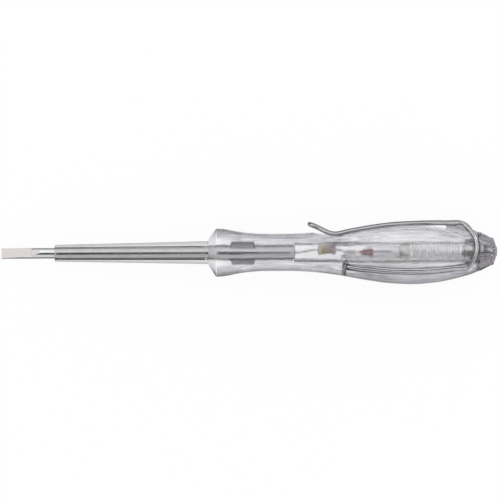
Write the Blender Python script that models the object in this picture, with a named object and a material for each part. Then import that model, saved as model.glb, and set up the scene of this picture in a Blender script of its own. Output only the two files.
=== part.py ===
"""Voltage tester screwdriver: clear handle with a neon lamp circuit, wire pocket clip and screw end cap.

The tool's own frame has x along the blade, from the middle of the tip's end face to the cap, and z towards
the clip. The whole tool lies rolled about x, as on a bench with the clip to one side: world +Z is up.
"""

import math

import bmesh
import bpy
import numpy as np
from mathutils import Matrix, Vector

mm = 0.001

# Lie of the tool: how far the clip is turned up from level.
clip_roll = math.radians(4)

# Gaps between pieces that touch.
seat_gap = 0.3 * mm
slip_gap = 0.1 * mm
overrun = 0.6 * mm
weld_gap = 0.0001 * mm

# Blade
blade_radius = 1.5 * mm
tip_thickness = 0.5 * mm
grind_length = 8.75 * mm
grind_end_thickness = 1.74 * mm
grind_turn = math.radians(71)
bare_length = 15.3 * mm
reach = 59.6 * mm
tail_length = 24.7 * mm
wing_setback = 5.9 * mm
wing_length = 7.5 * mm
wing_span = 4.6 * mm
wing_thickness = 1.3 * mm
wing_turn = math.radians(28)

# Sleeve
sleeve_gap = 0.2 * mm
sleeve_front_radius = 2.41 * mm
sleeve_rear_radius = 3.31 * mm
sleeve_seat_depth = 3.4 * mm
sleeve_chamfer = 0.3 * mm

# Handle: lengths from its front face back, and radii
mouth_land = 0.35 * mm
cone_length = 2.2 * mm
collar_radius = 6.95 * mm
rim_length = 0.9 * mm
flare_length = 16.4 * mm
neck_radius = 5.35 * mm
swell_length = 39.2 * mm
bulge_radius = 9.31 * mm
fall_length = 19.4 * mm
rear_radius = 5.68 * mm
bore_radius = 2.15 * mm
# Outline of each stretch: share of its length, share of its rise or fall
flare_shares = ((0, 0), (0.14, 0.17), (0.3, 0.49), (0.47, 0.75), (0.7, 0.95), (1, 1))
swell_shares = ((0, 0), (0.12, 0.01), (0.24, 0.07), (0.35, 0.18), (0.47, 0.34), (0.59, 0.56), (0.71, 0.76),
                (0.82, 0.91), (1, 1))
fall_shares = ((0, 0), (0.24, 0.065), (0.48, 0.24), (0.73, 0.54), (0.9, 0.8), (1, 1))

# Flat across the handle's top, under the clip
flat_depth = 1.9 * mm
flat_setback = 10.4 * mm
flat_ramp = 6.3 * mm
flat_past_bulge = 9.8 * mm
flat_steps = 14

# Clip wire; its setbacks are from the handle's rear face
wire_radius = 0.6 * mm
groove_gap = 0.15 * mm
nose_setback = 48.9 * mm
nose_height = 8.1 * mm
nose_half_width = 1.7 * mm
bend_setback = 41.9 * mm
clip_lift = 0.15 * mm
front_half_spacing = 1.3 * mm
rear_half_spacing = 2.2 * mm
front_run_shares = (0, 0.2, 0.45, 0.75)
spread_setback = 18.7 * mm
spread_length = 3.4 * mm
top_height = 8.3 * mm
hinge_setback = 4.5 * mm
hinge_height = 7.95 * mm
arc_reach = 3.65 * mm
arc_ride = 0.5 * mm
leg_angle = math.radians(124)
leg_ride = 0.25 * mm
hook_setback = 38.2 * mm
hook_bend = 1.3 * mm
hook_end_radius = 3.2 * mm
# Way of the wire round the rear: share of leg_angle, share of arc_reach
arc_shares = ((0.28, 0.61), (0.45, 0.92), (0.6, 1.0), (0.76, 0.9), (0.9, 0.62), (1, 0.33))
# Ride of the wire on the leg: share of the way from the rear arc to the hook, share of leg_ride
leg_ride_shares = ((0.12, 1.3), (0.3, 1), (0.48, 0.8), (0.66, 0.9), (0.84, 0.5), (0.93, 0))
# Turn inwards at the hook: shares of hook_bend, back from the hook and in from the surface
hook_shares = ((0.3, 0.35), (0, 1))

# Resistor
front_lead_length = 7.2 * mm
resistor_length = 5.2 * mm
resistor_radius = 1.15 * mm
resistor_cap_radius = 1.38 * mm
resistor_cap_length = 0.95 * mm
resistor_cap_wall = 0.22 * mm
lead_radius = 0.25 * mm
lead_straight = 1.1 * mm
resistor_lift = 0.65 * mm
rear_lead_length = 4.5 * mm
ferrule_length = 2.4 * mm
ferrule_wall = 0.3 * mm

# Lamp
bead_setback = 7.2 * mm
bead_length = 3.7 * mm
bead_front_radius = 0.75 * mm
bead_rear_radius = 1.1 * mm
electrode_offset = 0.45 * mm
electrode_radius = 0.24 * mm
electrode_length = 5.2 * mm
lamp_lead_radius = 0.125 * mm
glass_setback = 0.9 * mm
glass_length = 12.4 * mm
glass_mouth_radius = 1.15 * mm
glass_radius = 1.65 * mm
glass_wall = 0.2 * mm
glass_shoulder = 1.9 * mm
glass_dome = 2.0 * mm
contact_cap_radius = 2.0 * mm
contact_cap_wall = 0.25 * mm
contact_cap_length = 2.8 * mm
contact_cap_floor = 0.5 * mm

# Contact spring and its seat
spring_pitch = 0.86 * mm
spring_wire_radius = 0.2 * mm
spring_coil_radius = 1.53 * mm
spring_points_per_turn = 9
seat_radius = 1.85 * mm
seat_thickness = 0.6 * mm

# Cap stud and its thread
thread_pitch = 0.8 * mm
thread_depth = 4.8 * mm
stud_radius = 2.5 * mm
stud_core_radius = 2.0 * mm
thread_root_half_width = 0.27 * mm
thread_crest_half_width = 0.09 * mm
thread_clearance = 0.12 * mm
stud_plain_length = 2.1 * mm
slot_width = 0.7 * mm
slot_depth = 1.0 * mm

# End cap
cap_gap = 0.2 * mm
cap_step = 0.05 * mm
cap_length = 4.9 * mm
cap_wall = 0.4 * mm
flute_count = 8
flute_radius = 0.6 * mm
flute_sink = 0.3 * mm
flute_turn = math.radians(4.8)
flute_length = 3.1 * mm
bump_count = 20
bump_notch_radius = 0.28 * mm
# Outline of the cap: share of its length, share of its front radius; the last point is the flat end face
cap_shares = (
    (0, 1), (0.22, 0.91), (0.45, 0.81), (0.6, 0.735), (0.63, 0.7), (0.75, 0.62), (0.88, 0.44), (1, 0.22),
)
bump_ring_share = 0.81

# Facets round each turned piece and along each tube
handle_segments = 40
sleeve_segments = 28
blade_segments = 24
small_segments = 16
cap_segments = 48
wire_sides = 8
flute_sides = 10
notch_sides = 6
wire_step = 2.0 * mm
thread_points_per_turn = 16
smooth_angle = math.radians(32)

# Stations along x
blade_end_x = reach + tail_length
rim_x = reach + cone_length
flare_x = rim_x + rim_length
neck_x = flare_x + flare_length
bulge_x = neck_x + swell_length
handle_end_x = bulge_x + fall_length
flat_front_x = neck_x + flat_setback
flat_rear_x = bulge_x + flat_past_bulge
nose_x = handle_end_x - nose_setback
bend_x = handle_end_x - bend_setback
spread_x = handle_end_x - spread_setback
hinge_x = handle_end_x - hinge_setback
hook_x = handle_end_x - hook_setback
sleeve_end_x = reach + sleeve_seat_depth
resistor_x = blade_end_x + front_lead_length
resistor_end_x = resistor_x + resistor_length
rear_lead_end_x = resistor_end_x + rear_lead_length
bead_x = resistor_end_x + bead_setback
bead_end_x = bead_x + bead_length
glass_x = bead_x + glass_setback
glass_end_x = glass_x + glass_length
contact_cap_end_x = glass_end_x + slip_gap + contact_cap_floor
contact_cap_x = contact_cap_end_x - contact_cap_length
stud_x = handle_end_x - thread_depth
seat_x = stud_x - slip_gap - seat_thickness
spring_x = contact_cap_end_x + slip_gap
spring_end_x = seat_x - slip_gap
coil_length = spring_end_x - spring_x - 4 * spring_wire_radius
spring_turns = round(coil_length / spring_pitch)
thread_turns = round(thread_depth / thread_pitch)
thread_end_x = handle_end_x + slip_gap
stud_end_x = thread_end_x + stud_plain_length
cap_x = handle_end_x + cap_gap
cap_front_radius = rear_radius - cap_step


def blend_table(share, table):
    """Reads a smooth curve through a table: cubic pieces whose slopes come from their neighbours."""
    xs = [row[0] for row in table]
    ys = [row[1] for row in table]
    last = len(xs) - 1
    chords = [(ys[i + 1] - ys[i - 1]) / (xs[i + 1] - xs[i - 1]) for i in range(1, last)]
    slopes = [0] + chords + [0]
    i = min(max(int(np.searchsorted(xs, share)) - 1, 0), last - 1)
    width = xs[i + 1] - xs[i]
    t = min(max((share - xs[i]) / width, 0), 1)
    return (
        ys[i] * (1 + 2 * t) * (1 - t) ** 2
        + slopes[i] * width * t * (1 - t) ** 2
        + ys[i + 1] * t * t * (3 - 2 * t)
        + slopes[i + 1] * width * t * t * (t - 1)
    )


def handle_radius(x):
    """Outer radius of the handle behind its collar."""
    if x <= flare_x:
        return collar_radius
    if x <= neck_x:
        share = blend_table((x - flare_x) / flare_length, flare_shares)
        return collar_radius - (collar_radius - neck_radius) * share
    if x <= bulge_x:
        share = blend_table((x - neck_x) / swell_length, swell_shares)
        return neck_radius + (bulge_radius - neck_radius) * share
    share = blend_table((x - bulge_x) / fall_length, fall_shares)
    return bulge_radius - (bulge_radius - rear_radius) * share


def flat_floor(x):
    """Height of the flat's floor above the axis: down a ramp, then at a steady depth."""
    share = min(max((x - flat_front_x) / flat_ramp, 0), 1)
    return handle_radius(x) - flat_depth * share


def smooth_stretches(keys, step):
    """Points on a smooth curve through the keys, at most a step apart: one list for each stretch."""
    keys = [Vector(key) for key in keys]
    lengths = [(b - a).length for a, b in zip(keys, keys[1:])]
    tangents = []
    for i in range(len(keys)):
        if i in (0, len(keys) - 1):
            j = min(i, len(keys) - 2)
            tangents.append((keys[j + 1] - keys[j]) / lengths[j])
        else:
            before = (keys[i] - keys[i - 1]) / lengths[i - 1]
            after = (keys[i + 1] - keys[i]) / lengths[i]
            share = lengths[i - 1] / (lengths[i - 1] + lengths[i])
            tangents.append(before * (1 - share) + after * share)
    stretches = []
    for a, b, ta, tb, length in zip(keys, keys[1:], tangents, tangents[1:], lengths):
        count = max(2, math.ceil(length / step))
        stretches.append([
            a * ((1 + 2 * t) * (1 - t) ** 2) + ta * (length * t * (1 - t) ** 2)
            + b * (t * t * (3 - 2 * t)) + tb * (length * t * t * (t - 1))
            for t in (k / count for k in range(1, count + 1))
        ])
    return stretches


def smooth_path(keys, step):
    return [Vector(keys[0]), *sum(smooth_stretches(keys, step), [])]


def material(name, colour, roughness, metallic=0.0, alpha=1.0):
    mat = bpy.data.materials.new(name)
    mat.use_nodes = True
    shader = mat.node_tree.nodes["Principled BSDF"]
    shader.inputs["Base Color"].default_value = (*colour, 1)
    shader.inputs["Roughness"].default_value = roughness
    shader.inputs["Metallic"].default_value = metallic
    shader.inputs["Alpha"].default_value = alpha
    mat.diffuse_color = (*colour, alpha)
    return mat


def clear_scene():
    for obj in list(bpy.data.objects):
        bpy.data.objects.remove(obj)


def add_object(name, mesh, mat, x=0, z=0):
    """Puts a mesh in the tool's frame with its own origin at (x, 0, z)."""
    obj = bpy.data.objects.new(name, mesh)
    bpy.context.scene.collection.objects.link(obj)
    obj.parent = tool
    obj.location = (x, 0, z)
    if mat:
        mesh.materials.append(mat)
        mesh.shade_smooth()
        mesh.set_sharp_from_angle(angle=smooth_angle)
    return obj


def finished_mesh(name, bm):
    bmesh.ops.remove_doubles(bm, verts=bm.verts, dist=weld_gap)
    bmesh.ops.recalc_face_normals(bm, faces=bm.faces)
    mesh = bpy.data.meshes.new(name)
    bm.to_mesh(mesh)
    bm.free()
    return mesh


def turned_mesh(name, outline, segments, ring=False):
    """Turns an outline of (x, radius) points about x. A ring's outline is a closed loop."""
    bm = bmesh.new()
    rows = []
    for x, radius in outline:
        if radius == 0:
            rows.append([bm.verts.new((x, 0, 0))] * segments)
            continue
        angles = [2 * math.pi * k / segments for k in range(segments)]
        rows.append([bm.verts.new((x, radius * math.cos(a), radius * math.sin(a))) for a in angles])
    pairs = list(zip(rows, rows[1:])) + ([(rows[-1], rows[0])] if ring else [])
    for first, second in pairs:
        for k in range(segments):
            corners = list(dict.fromkeys([first[k], first[k - 1], second[k - 1], second[k]]))
            if len(corners) > 2:
                bm.faces.new(corners)
    return finished_mesh(name, bm)


def tube_mesh(name, path, radius, sides):
    """Carries a round section along a path, without twist, and closes both ends."""
    points = [Vector(p) for p in path]
    bm = bmesh.new()
    ways = [(b - a).normalized() for a, b in zip(points, points[1:])]
    normal = ways[0].orthogonal().normalized()
    rows = []
    for i, point in enumerate(points):
        way = (ways[max(i - 1, 0)] + ways[min(i, len(ways) - 1)]).normalized()
        normal = (normal - way * normal.dot(way)).normalized()
        other = way.cross(normal)
        rows.append([
            bm.verts.new(point + (normal * math.cos(a) + other * math.sin(a)) * radius)
            for a in (2 * math.pi * k / sides for k in range(sides))
        ])
    for first, second in zip(rows, rows[1:]):
        for k in range(sides):
            bm.faces.new([first[k], first[k - 1], second[k - 1], second[k]])
    bm.faces.new(rows[0])
    bm.faces.new(rows[-1])
    return finished_mesh(name, bm)


def ridge_mesh(name, x, turns, root, crest, root_half, crest_half):
    """A screw thread's ridge: four corners carried round a helix, with closed ends."""
    bm = bmesh.new()
    rows = []
    for k in range(round(turns * thread_points_per_turn) + 1):
        turn = k / thread_points_per_turn
        a = 2 * math.pi * turn
        middle = x + turn * thread_pitch
        section = ((root, -root_half), (crest, -crest_half), (crest, crest_half), (root, root_half))
        rows.append([bm.verts.new((middle + dx, r * math.cos(a), r * math.sin(a))) for r, dx in section])
    for first, second in zip(rows, rows[1:]):
        for k in range(4):
            bm.faces.new([first[k], first[k - 1], second[k - 1], second[k]])
    bm.faces.new(rows[0])
    bm.faces.new(rows[-1])
    return finished_mesh(name, bm)


def box_mesh(name, low, high, turn=0):
    """A box between two corners, turned about x."""
    bm = bmesh.new()
    bmesh.ops.create_cube(bm, size=1)
    middle = (Vector(low) + Vector(high)) / 2
    size = Vector(high) - Vector(low)
    place = Matrix.Rotation(turn, 4, "X") @ Matrix.Translation(middle) @ Matrix.Diagonal((*size, 1))
    bm.transform(place)
    return finished_mesh(name, bm)


def prism_mesh(name, outline, half_width):
    """Extrudes an outline of (x, z) points to both sides along y."""
    bm = bmesh.new()
    sides = [[bm.verts.new((x, y, z)) for x, z in outline] for y in (-half_width, half_width)]
    bm.faces.new(sides[0])
    bm.faces.new(sides[1])
    for k in range(len(outline)):
        bm.faces.new([sides[0][k], sides[0][k - 1], sides[1][k - 1], sides[1][k]])
    return finished_mesh(name, bm)


def joined_mesh(name, meshes):
    """Several closed shapes in one mesh, for a cutter."""
    bm = bmesh.new()
    for mesh in meshes:
        bm.from_mesh(mesh)
    joined = bpy.data.meshes.new(name)
    bm.to_mesh(joined)
    bm.free()
    return joined


def helper(mesh, x=0):
    obj = add_object(mesh.name, mesh, None, x)
    obj.hide_render = True
    obj.display_type = "WIRE"
    return obj


def combine(obj, operand, operation="DIFFERENCE"):
    modifier = obj.modifiers.new(operand.name, "BOOLEAN")
    modifier.object = operand
    modifier.operation = operation


def wing_box(name, gap):
    half_span, half_thickness = wing_span / 2 + gap, wing_thickness / 2 + gap
    start = reach + wing_setback
    low = (start - gap, -half_thickness, -half_span)
    high = (start + wing_length + gap, half_thickness, half_span)
    return helper(box_mesh(name, low, high, wing_turn))


def make_blade():
    outline = ((0, 0), (0, blade_radius), (blade_end_x, blade_radius), (blade_end_x, 0))
    blade = add_object("blade", turned_mesh("blade", outline, blade_segments), steel)
    half = tip_thickness / 2
    grind = (
        (-overrun, half),
        (0, half),
        (grind_length, grind_end_thickness / 2),
        (grind_length, blade_radius + overrun),
        (-overrun, blade_radius + overrun),
    )
    sides = []
    for sign in (1, -1):
        side = prism_mesh("blade_grind_side", [(x, sign * z) for x, z in grind], blade_radius + overrun)
        side.transform(Matrix.Rotation(grind_turn, 4, "X"))
        sides.append(side)
    combine(blade, helper(joined_mesh("blade_grind", sides)))
    combine(blade, wing_box("blade_wings", 0), "UNION")


def make_sleeve():
    inner = blade_radius + sleeve_gap
    outline = (
        (bare_length, inner),
        (bare_length, sleeve_front_radius - sleeve_chamfer),
        (bare_length + sleeve_chamfer, sleeve_front_radius),
        (reach, sleeve_rear_radius),
        (sleeve_end_x, sleeve_rear_radius),
        (sleeve_end_x, inner),
    )
    tube = turned_mesh("blade_sleeve", outline, sleeve_segments, ring=True)
    add_object("blade_sleeve", tube, sleeve_plastic)


def handle_outline():
    mouth = sleeve_rear_radius + slip_gap
    blade_hole = blade_radius + slip_gap
    outline = [(reach, mouth), (reach, mouth + mouth_land), (rim_x, collar_radius)]
    for start, length, table in (
        (flare_x, flare_length, flare_shares),
        (neck_x, swell_length, swell_shares),
        (bulge_x, fall_length, fall_shares),
    ):
        shares = sorted({row[0] for row in table} | {(a[0] + b[0]) / 2 for a, b in zip(table, table[1:])})
        outline += [(start + share * length, handle_radius(start + share * length)) for share in shares[:-1]]
    outline += [
        (handle_end_x, rear_radius),
        (handle_end_x, bore_radius),
        (blade_end_x, bore_radius),
        (blade_end_x, blade_hole),
        (sleeve_end_x + seat_gap, blade_hole),
        (sleeve_end_x + seat_gap, mouth),
    ]
    return outline


def flat_cutter():
    top = bulge_radius + overrun
    front = flat_front_x - overrun
    outline = [(front, top), (front, flat_floor(flat_front_x) + overrun / 2)]
    length = flat_rear_x - flat_front_x
    for k in range(1, flat_steps + 1):
        x = flat_front_x + length * k / flat_steps
        outline.append((x, flat_floor(x)))
    outline.append((flat_rear_x, top))
    return helper(prism_mesh("handle_flat", outline, top))


def make_handle(clip_paths):
    body = turned_mesh("handle", handle_outline(), handle_segments, ring=True)
    handle = add_object("handle", body, clear_plastic)
    combine(handle, flat_cutter())
    combine(handle, wing_box("handle_wing_room", slip_gap))
    for name, path in clip_paths.items():
        ends = [path[0] + (path[0] - path[1]).normalized() * groove_gap]
        ends.append(path[-1] + (path[-1] - path[-2]).normalized() * groove_gap)
        grown = [ends[0], *path[1:-1], ends[1]]
        mesh = tube_mesh("handle_groove_" + name, grown, wire_radius + groove_gap, wire_sides)
        combine(handle, helper(mesh))
    mesh = ridge_mesh(
        "handle_thread",
        stud_x - thread_pitch / 2,
        thread_turns + 1,
        bore_radius - seat_gap,
        stud_radius + thread_clearance,
        thread_root_half_width + thread_clearance,
        thread_crest_half_width + thread_clearance,
    )
    combine(handle, helper(mesh))


def place(x, angle, radius, side):
    """A point at a radius and an angle from the clip's direction, on the left (1) or right (-1)."""
    return Vector((x, side * radius * math.sin(angle), radius * math.cos(angle)))


def nose_keys(side):
    """Half of the hairpin's round end, which lies in the sloping plane of the nose."""
    bend_height = run_height(bend_x)
    slope = Vector((bend_x - nose_x, 0, bend_height - nose_height)).normalized()
    apex = Vector((nose_x, 0, nose_height))
    middle = apex + slope * nose_half_width
    keys = []
    for degrees in (0, 30, 60, 90):
        a = math.radians(degrees)
        across = Vector((0, side * nose_half_width * math.sin(a), 0))
        keys.append(middle - slope * (nose_half_width * math.cos(a)) + across)
    return keys


def run_height(x):
    """Height of the clip's wire over the flat."""
    return flat_floor(x) + wire_radius + clip_lift


def arm_keys(side):
    """Way of the wire's middle from the nose back over the top to the hinge line."""
    keys = nose_keys(side)
    front_run = spread_x - bend_x
    for share in front_run_shares:
        x = bend_x + front_run * share
        keys.append(Vector((x, side * front_half_spacing, run_height(x))))
    spread_end = spread_x + spread_length
    for x, half, height in (
        (spread_x, front_half_spacing, (run_height(spread_x) + top_height) / 2),
        (spread_end, rear_half_spacing, top_height),
        ((spread_end + hinge_x) / 2, rear_half_spacing, top_height),
        (hinge_x, rear_half_spacing, hinge_height),
    ):
        keys.append(Vector((x, side * half, height)))
    return keys


def leg_keys(side):
    """Way of the wire's middle from the hinge line round the rear, forward and into its hole."""
    keys = []
    for angle_share, reach_share in arc_shares:
        x = hinge_x + arc_reach * reach_share
        keys.append(place(x, leg_angle * angle_share, handle_radius(x) + arc_ride, side))
    leg_start, leg_end = keys[-1].x, hook_x
    for share, ride_share in leg_ride_shares:
        x = leg_start + (leg_end - leg_start) * share
        keys.append(place(x, leg_angle, handle_radius(x) + leg_ride * ride_share, side))
    for back_share, depth_share in hook_shares:
        radius = handle_radius(hook_x) - hook_bend * depth_share
        keys.append(place(hook_x + hook_bend * back_share, leg_angle, radius, side))
    keys.append(place(hook_x, leg_angle, hook_end_radius, side))
    return keys


def half_clip(side):
    """The arm's half and the leg of one side, cut apart at the hinge line with a small gap."""
    front = arm_keys(side)
    stretches = smooth_stretches(front + leg_keys(side), wire_step)
    count = len(front) - 1
    arm = [front[0], *sum(stretches[:count], [])]
    leg = [arm[-1].copy(), *sum(stretches[count:], [])]
    for path in (arm, leg[::-1]):
        cut = (path[-2] - path[-1]).normalized() * (seat_gap / 2)
        path[-1].xyz = path[-1] + cut
    return arm, leg


def make_clip():
    """One wire in three nodes: the arm in front of the hinge line, and a leg on each side behind it."""
    left, left_leg = half_clip(1)
    right, right_leg = half_clip(-1)
    paths = {"clip_arm": left[::-1] + right[1:], "clip_leg_left": left_leg, "clip_leg_right": right_leg}
    hinge = Vector((hinge_x, 0, hinge_height))
    for name, path in paths.items():
        start = hinge if name == "clip_arm" else Vector((0, 0, 0))
        mesh = tube_mesh(name, [p - start for p in path], wire_radius, wire_sides)
        add_object(name, mesh, spring_steel, start.x, start.z)
    return paths


def make_resistor():
    shell = resistor_radius + slip_gap
    cap_outline = (
        (0, lead_radius + slip_gap / 2),
        (0, resistor_cap_radius),
        (resistor_cap_length, resistor_cap_radius),
        (resistor_cap_length, shell),
        (resistor_cap_wall, shell),
        (resistor_cap_wall, lead_radius + slip_gap / 2),
    )
    front = turned_mesh("resistor_front_cap", cap_outline, small_segments, ring=True)
    add_object("resistor_front_cap", front, tin, resistor_x, resistor_lift)
    mirrored = [(-x, r) for x, r in cap_outline]
    rear = turned_mesh("resistor_rear_cap", mirrored, small_segments, ring=True)
    add_object("resistor_rear_cap", rear, tin, resistor_end_x, resistor_lift)
    body_length = resistor_length - 2 * (resistor_cap_wall + slip_gap)
    body_outline = ((0, 0), (0, resistor_radius), (body_length, resistor_radius), (body_length, 0))
    body = turned_mesh("resistor_body", body_outline, small_segments)
    add_object("resistor_body", body, ceramic, resistor_x + resistor_cap_wall + slip_gap, resistor_lift)


def make_resistor_leads():
    """Each lead leaves its cap square, then slopes down to the axis, where it ends straight."""
    front_x = blade_end_x + slip_gap
    front_keys = (
        (front_x, 0, 0),
        (front_x + lead_straight, 0, 0),
        (resistor_x - lead_straight, 0, resistor_lift),
        (resistor_x, 0, resistor_lift),
        (resistor_x + resistor_cap_wall, 0, resistor_lift),
    )
    ferrule_x = rear_lead_end_x - ferrule_length / 2
    rear_keys = (
        (resistor_end_x - resistor_cap_wall, 0, resistor_lift),
        (resistor_end_x, 0, resistor_lift),
        (resistor_end_x + lead_straight, 0, resistor_lift),
        (ferrule_x - seat_gap, 0, 0),
        (ferrule_x, 0, 0),
        (rear_lead_end_x, 0, 0),
    )
    for name, keys in (("resistor_front_lead", front_keys), ("resistor_rear_lead", rear_keys)):
        add_object(name, tube_mesh(name, smooth_path(keys, wire_step), lead_radius, wire_sides), tin)


def make_ferrule():
    inner = lead_radius + slip_gap / 2
    outer = inner + ferrule_wall
    outline = ((0, inner), (0, outer), (ferrule_length, outer), (ferrule_length, inner))
    mesh = turned_mesh("lead_ferrule", outline, small_segments, ring=True)
    add_object("lead_ferrule", mesh, brass, rear_lead_end_x - ferrule_length / 2)


def make_bead():
    outline = ((bead_x, 0), (bead_x, bead_front_radius), (bead_end_x, bead_rear_radius), (bead_end_x, 0))
    bead = add_object("lamp_bead", turned_mesh("lamp_bead", outline, small_segments), red_glass)
    holes = []
    for side in (1, -1):
        y = side * electrode_offset
        way = ((bead_x - overrun, y, 0), (bead_end_x + overrun, y, 0))
        holes.append(tube_mesh("bead_hole", way, lamp_lead_radius + slip_gap / 2, wire_sides))
    combine(bead, helper(joined_mesh("lamp_bead_holes", holes)))


def electrode_rod(name, side):
    """The thick electrode behind the bead, as a helper that joins its thin lead."""
    y = side * electrode_offset
    start = bead_end_x + slip_gap
    ends = ((start, y, 0), (start + electrode_length, y, 0))
    return helper(tube_mesh(name, ends, electrode_radius, wire_sides))


def make_electrodes():
    """Two wires through the bead: one from the ferrule, the other folded back outside the glass."""
    inside = bead_end_x + slip_gap + electrode_radius
    ferrule_end = rear_lead_end_x + ferrule_length / 2
    y = electrode_offset
    front_keys = (
        (rear_lead_end_x + slip_gap, 0, 0),
        (ferrule_end, 0, 0),
        (bead_x - overrun / 2, y, 0),
        (bead_x, y, 0),
        (inside, y, 0),
    )
    front_path = smooth_path(front_keys, wire_step)
    front = tube_mesh("lamp_electrode_front", front_path, lamp_lead_radius, wire_sides)
    obj = add_object("lamp_electrode_front", front, nickel_wire)
    combine(obj, electrode_rod("lamp_electrode_front_rod", 1), "UNION")

    outside = glass_radius + slip_gap + lamp_lead_radius
    turn = (outside - y) / 2
    turn_x = bead_x - seat_gap
    keys = [(inside, -y, 0), (bead_x, -y, 0), (turn_x, -y, 0)]
    for degrees in (30, 60, 90, 120, 150):
        a = math.radians(degrees)
        keys.append((turn_x - turn * math.sin(a), -y - turn * (1 - math.cos(a)), 0))
    keys += [(bead_x, -outside, 0), (bead_x + turn, -outside, 0), (contact_cap_x - slip_gap, -outside, 0)]
    rear = tube_mesh("lamp_electrode_rear", smooth_path(keys, wire_step), lamp_lead_radius, wire_sides)
    obj = add_object("lamp_electrode_rear", rear, nickel_wire)
    combine(obj, electrode_rod("lamp_electrode_rear_rod", -1), "UNION")


def make_lamp_glass():
    """An open mouth round the bead, a shoulder, a straight wall and a round closed end."""
    straight_x = glass_end_x - glass_dome
    dome = []
    for degrees in (0, 25, 50, 70, 90):
        a = math.radians(degrees)
        dome.append((math.sin(a), math.cos(a)))
    outer = [(glass_x, glass_mouth_radius), (glass_x + glass_shoulder, glass_radius)]
    outer += [(straight_x + glass_dome * x, glass_radius * r if r > 0.01 else 0) for x, r in dome]
    inner_radius = glass_radius - glass_wall
    inner_dome = glass_dome - glass_wall
    inner = [(straight_x + inner_dome * x, inner_radius * r if r > 0.01 else 0) for x, r in reversed(dome)]
    inner += [(glass_x + glass_shoulder, inner_radius), (glass_x, glass_mouth_radius - glass_wall)]
    mesh = turned_mesh("lamp_glass", outer + inner, small_segments, ring=True)
    add_object("lamp_glass", mesh, lamp_glass)


def make_contact_cap():
    inner = contact_cap_radius - contact_cap_wall
    floor_x = contact_cap_length - contact_cap_floor
    outline = (
        (floor_x, 0),
        (floor_x, inner),
        (0, inner),
        (0, contact_cap_radius),
        (contact_cap_length, contact_cap_radius),
        (contact_cap_length, 0),
    )
    mesh = turned_mesh("lamp_contact_cap", outline, small_segments)
    add_object("lamp_contact_cap", mesh, brass, contact_cap_x)


def make_spring():
    """One unbroken wire: straight for a diameter, then the coils, then straight again."""
    straight = 2 * spring_wire_radius
    points = [(0, spring_coil_radius, 0)]
    count = spring_turns * spring_points_per_turn
    for k in range(count + 1):
        a = 2 * math.pi * spring_turns * k / count
        x = straight + coil_length * k / count
        points.append((x, spring_coil_radius * math.cos(a), spring_coil_radius * math.sin(a)))
    points.append((spring_end_x - spring_x, spring_coil_radius, 0))
    curve = bpy.data.curves.new("contact_spring", "CURVE")
    curve.dimensions = "3D"
    curve.bevel_depth = spring_wire_radius
    curve.bevel_resolution = 1
    curve.use_fill_caps = True
    line = curve.splines.new("POLY")
    line.points.add(len(points) - 1)
    for point, spot in zip(line.points, points):
        point.co = (*spot, 1)
    curve.materials.append(spring_steel)
    spring = bpy.data.objects.new("contact_spring", curve)
    bpy.context.scene.collection.objects.link(spring)
    spring.parent = tool
    spring.location = (spring_x, 0, 0)

    middle = np.array(points[1:-1])
    apart = np.linalg.norm(middle[:, None] - middle[None], axis=2)
    along = np.abs(np.subtract.outer(np.arange(len(middle)), np.arange(len(middle))))
    least = apart[along > spring_points_per_turn // 2].min() - 2 * spring_wire_radius
    print(f"contact_spring: least gap to itself {least / mm:.2f} mm")


def make_seat():
    outline = ((0, 0), (0, seat_radius), (seat_thickness, seat_radius), (seat_thickness, 0))
    add_object("spring_seat", turned_mesh("spring_seat", outline, small_segments), brass, seat_x)


def make_stud():
    thread_length = thread_end_x - stud_x
    length = stud_end_x - stud_x
    outline = (
        (0, 0),
        (0, stud_core_radius),
        (thread_length, stud_core_radius),
        (thread_length, stud_radius),
        (length, stud_radius),
        (length, 0),
    )
    stud = add_object("cap_stud", turned_mesh("cap_stud", outline, 2 * small_segments), brass, stud_x)
    ridge = ridge_mesh(
        "cap_stud_thread",
        thread_pitch / 2,
        thread_turns - 1,
        stud_core_radius - slip_gap,
        stud_radius,
        thread_root_half_width,
        thread_crest_half_width,
    )
    combine(stud, helper(ridge, stud_x), "UNION")
    low = (-overrun, -stud_radius - overrun, -slot_width / 2)
    high = (slot_depth, stud_radius + overrun, slot_width / 2)
    combine(stud, helper(box_mesh("cap_stud_slot", low, high), stud_x))


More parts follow.
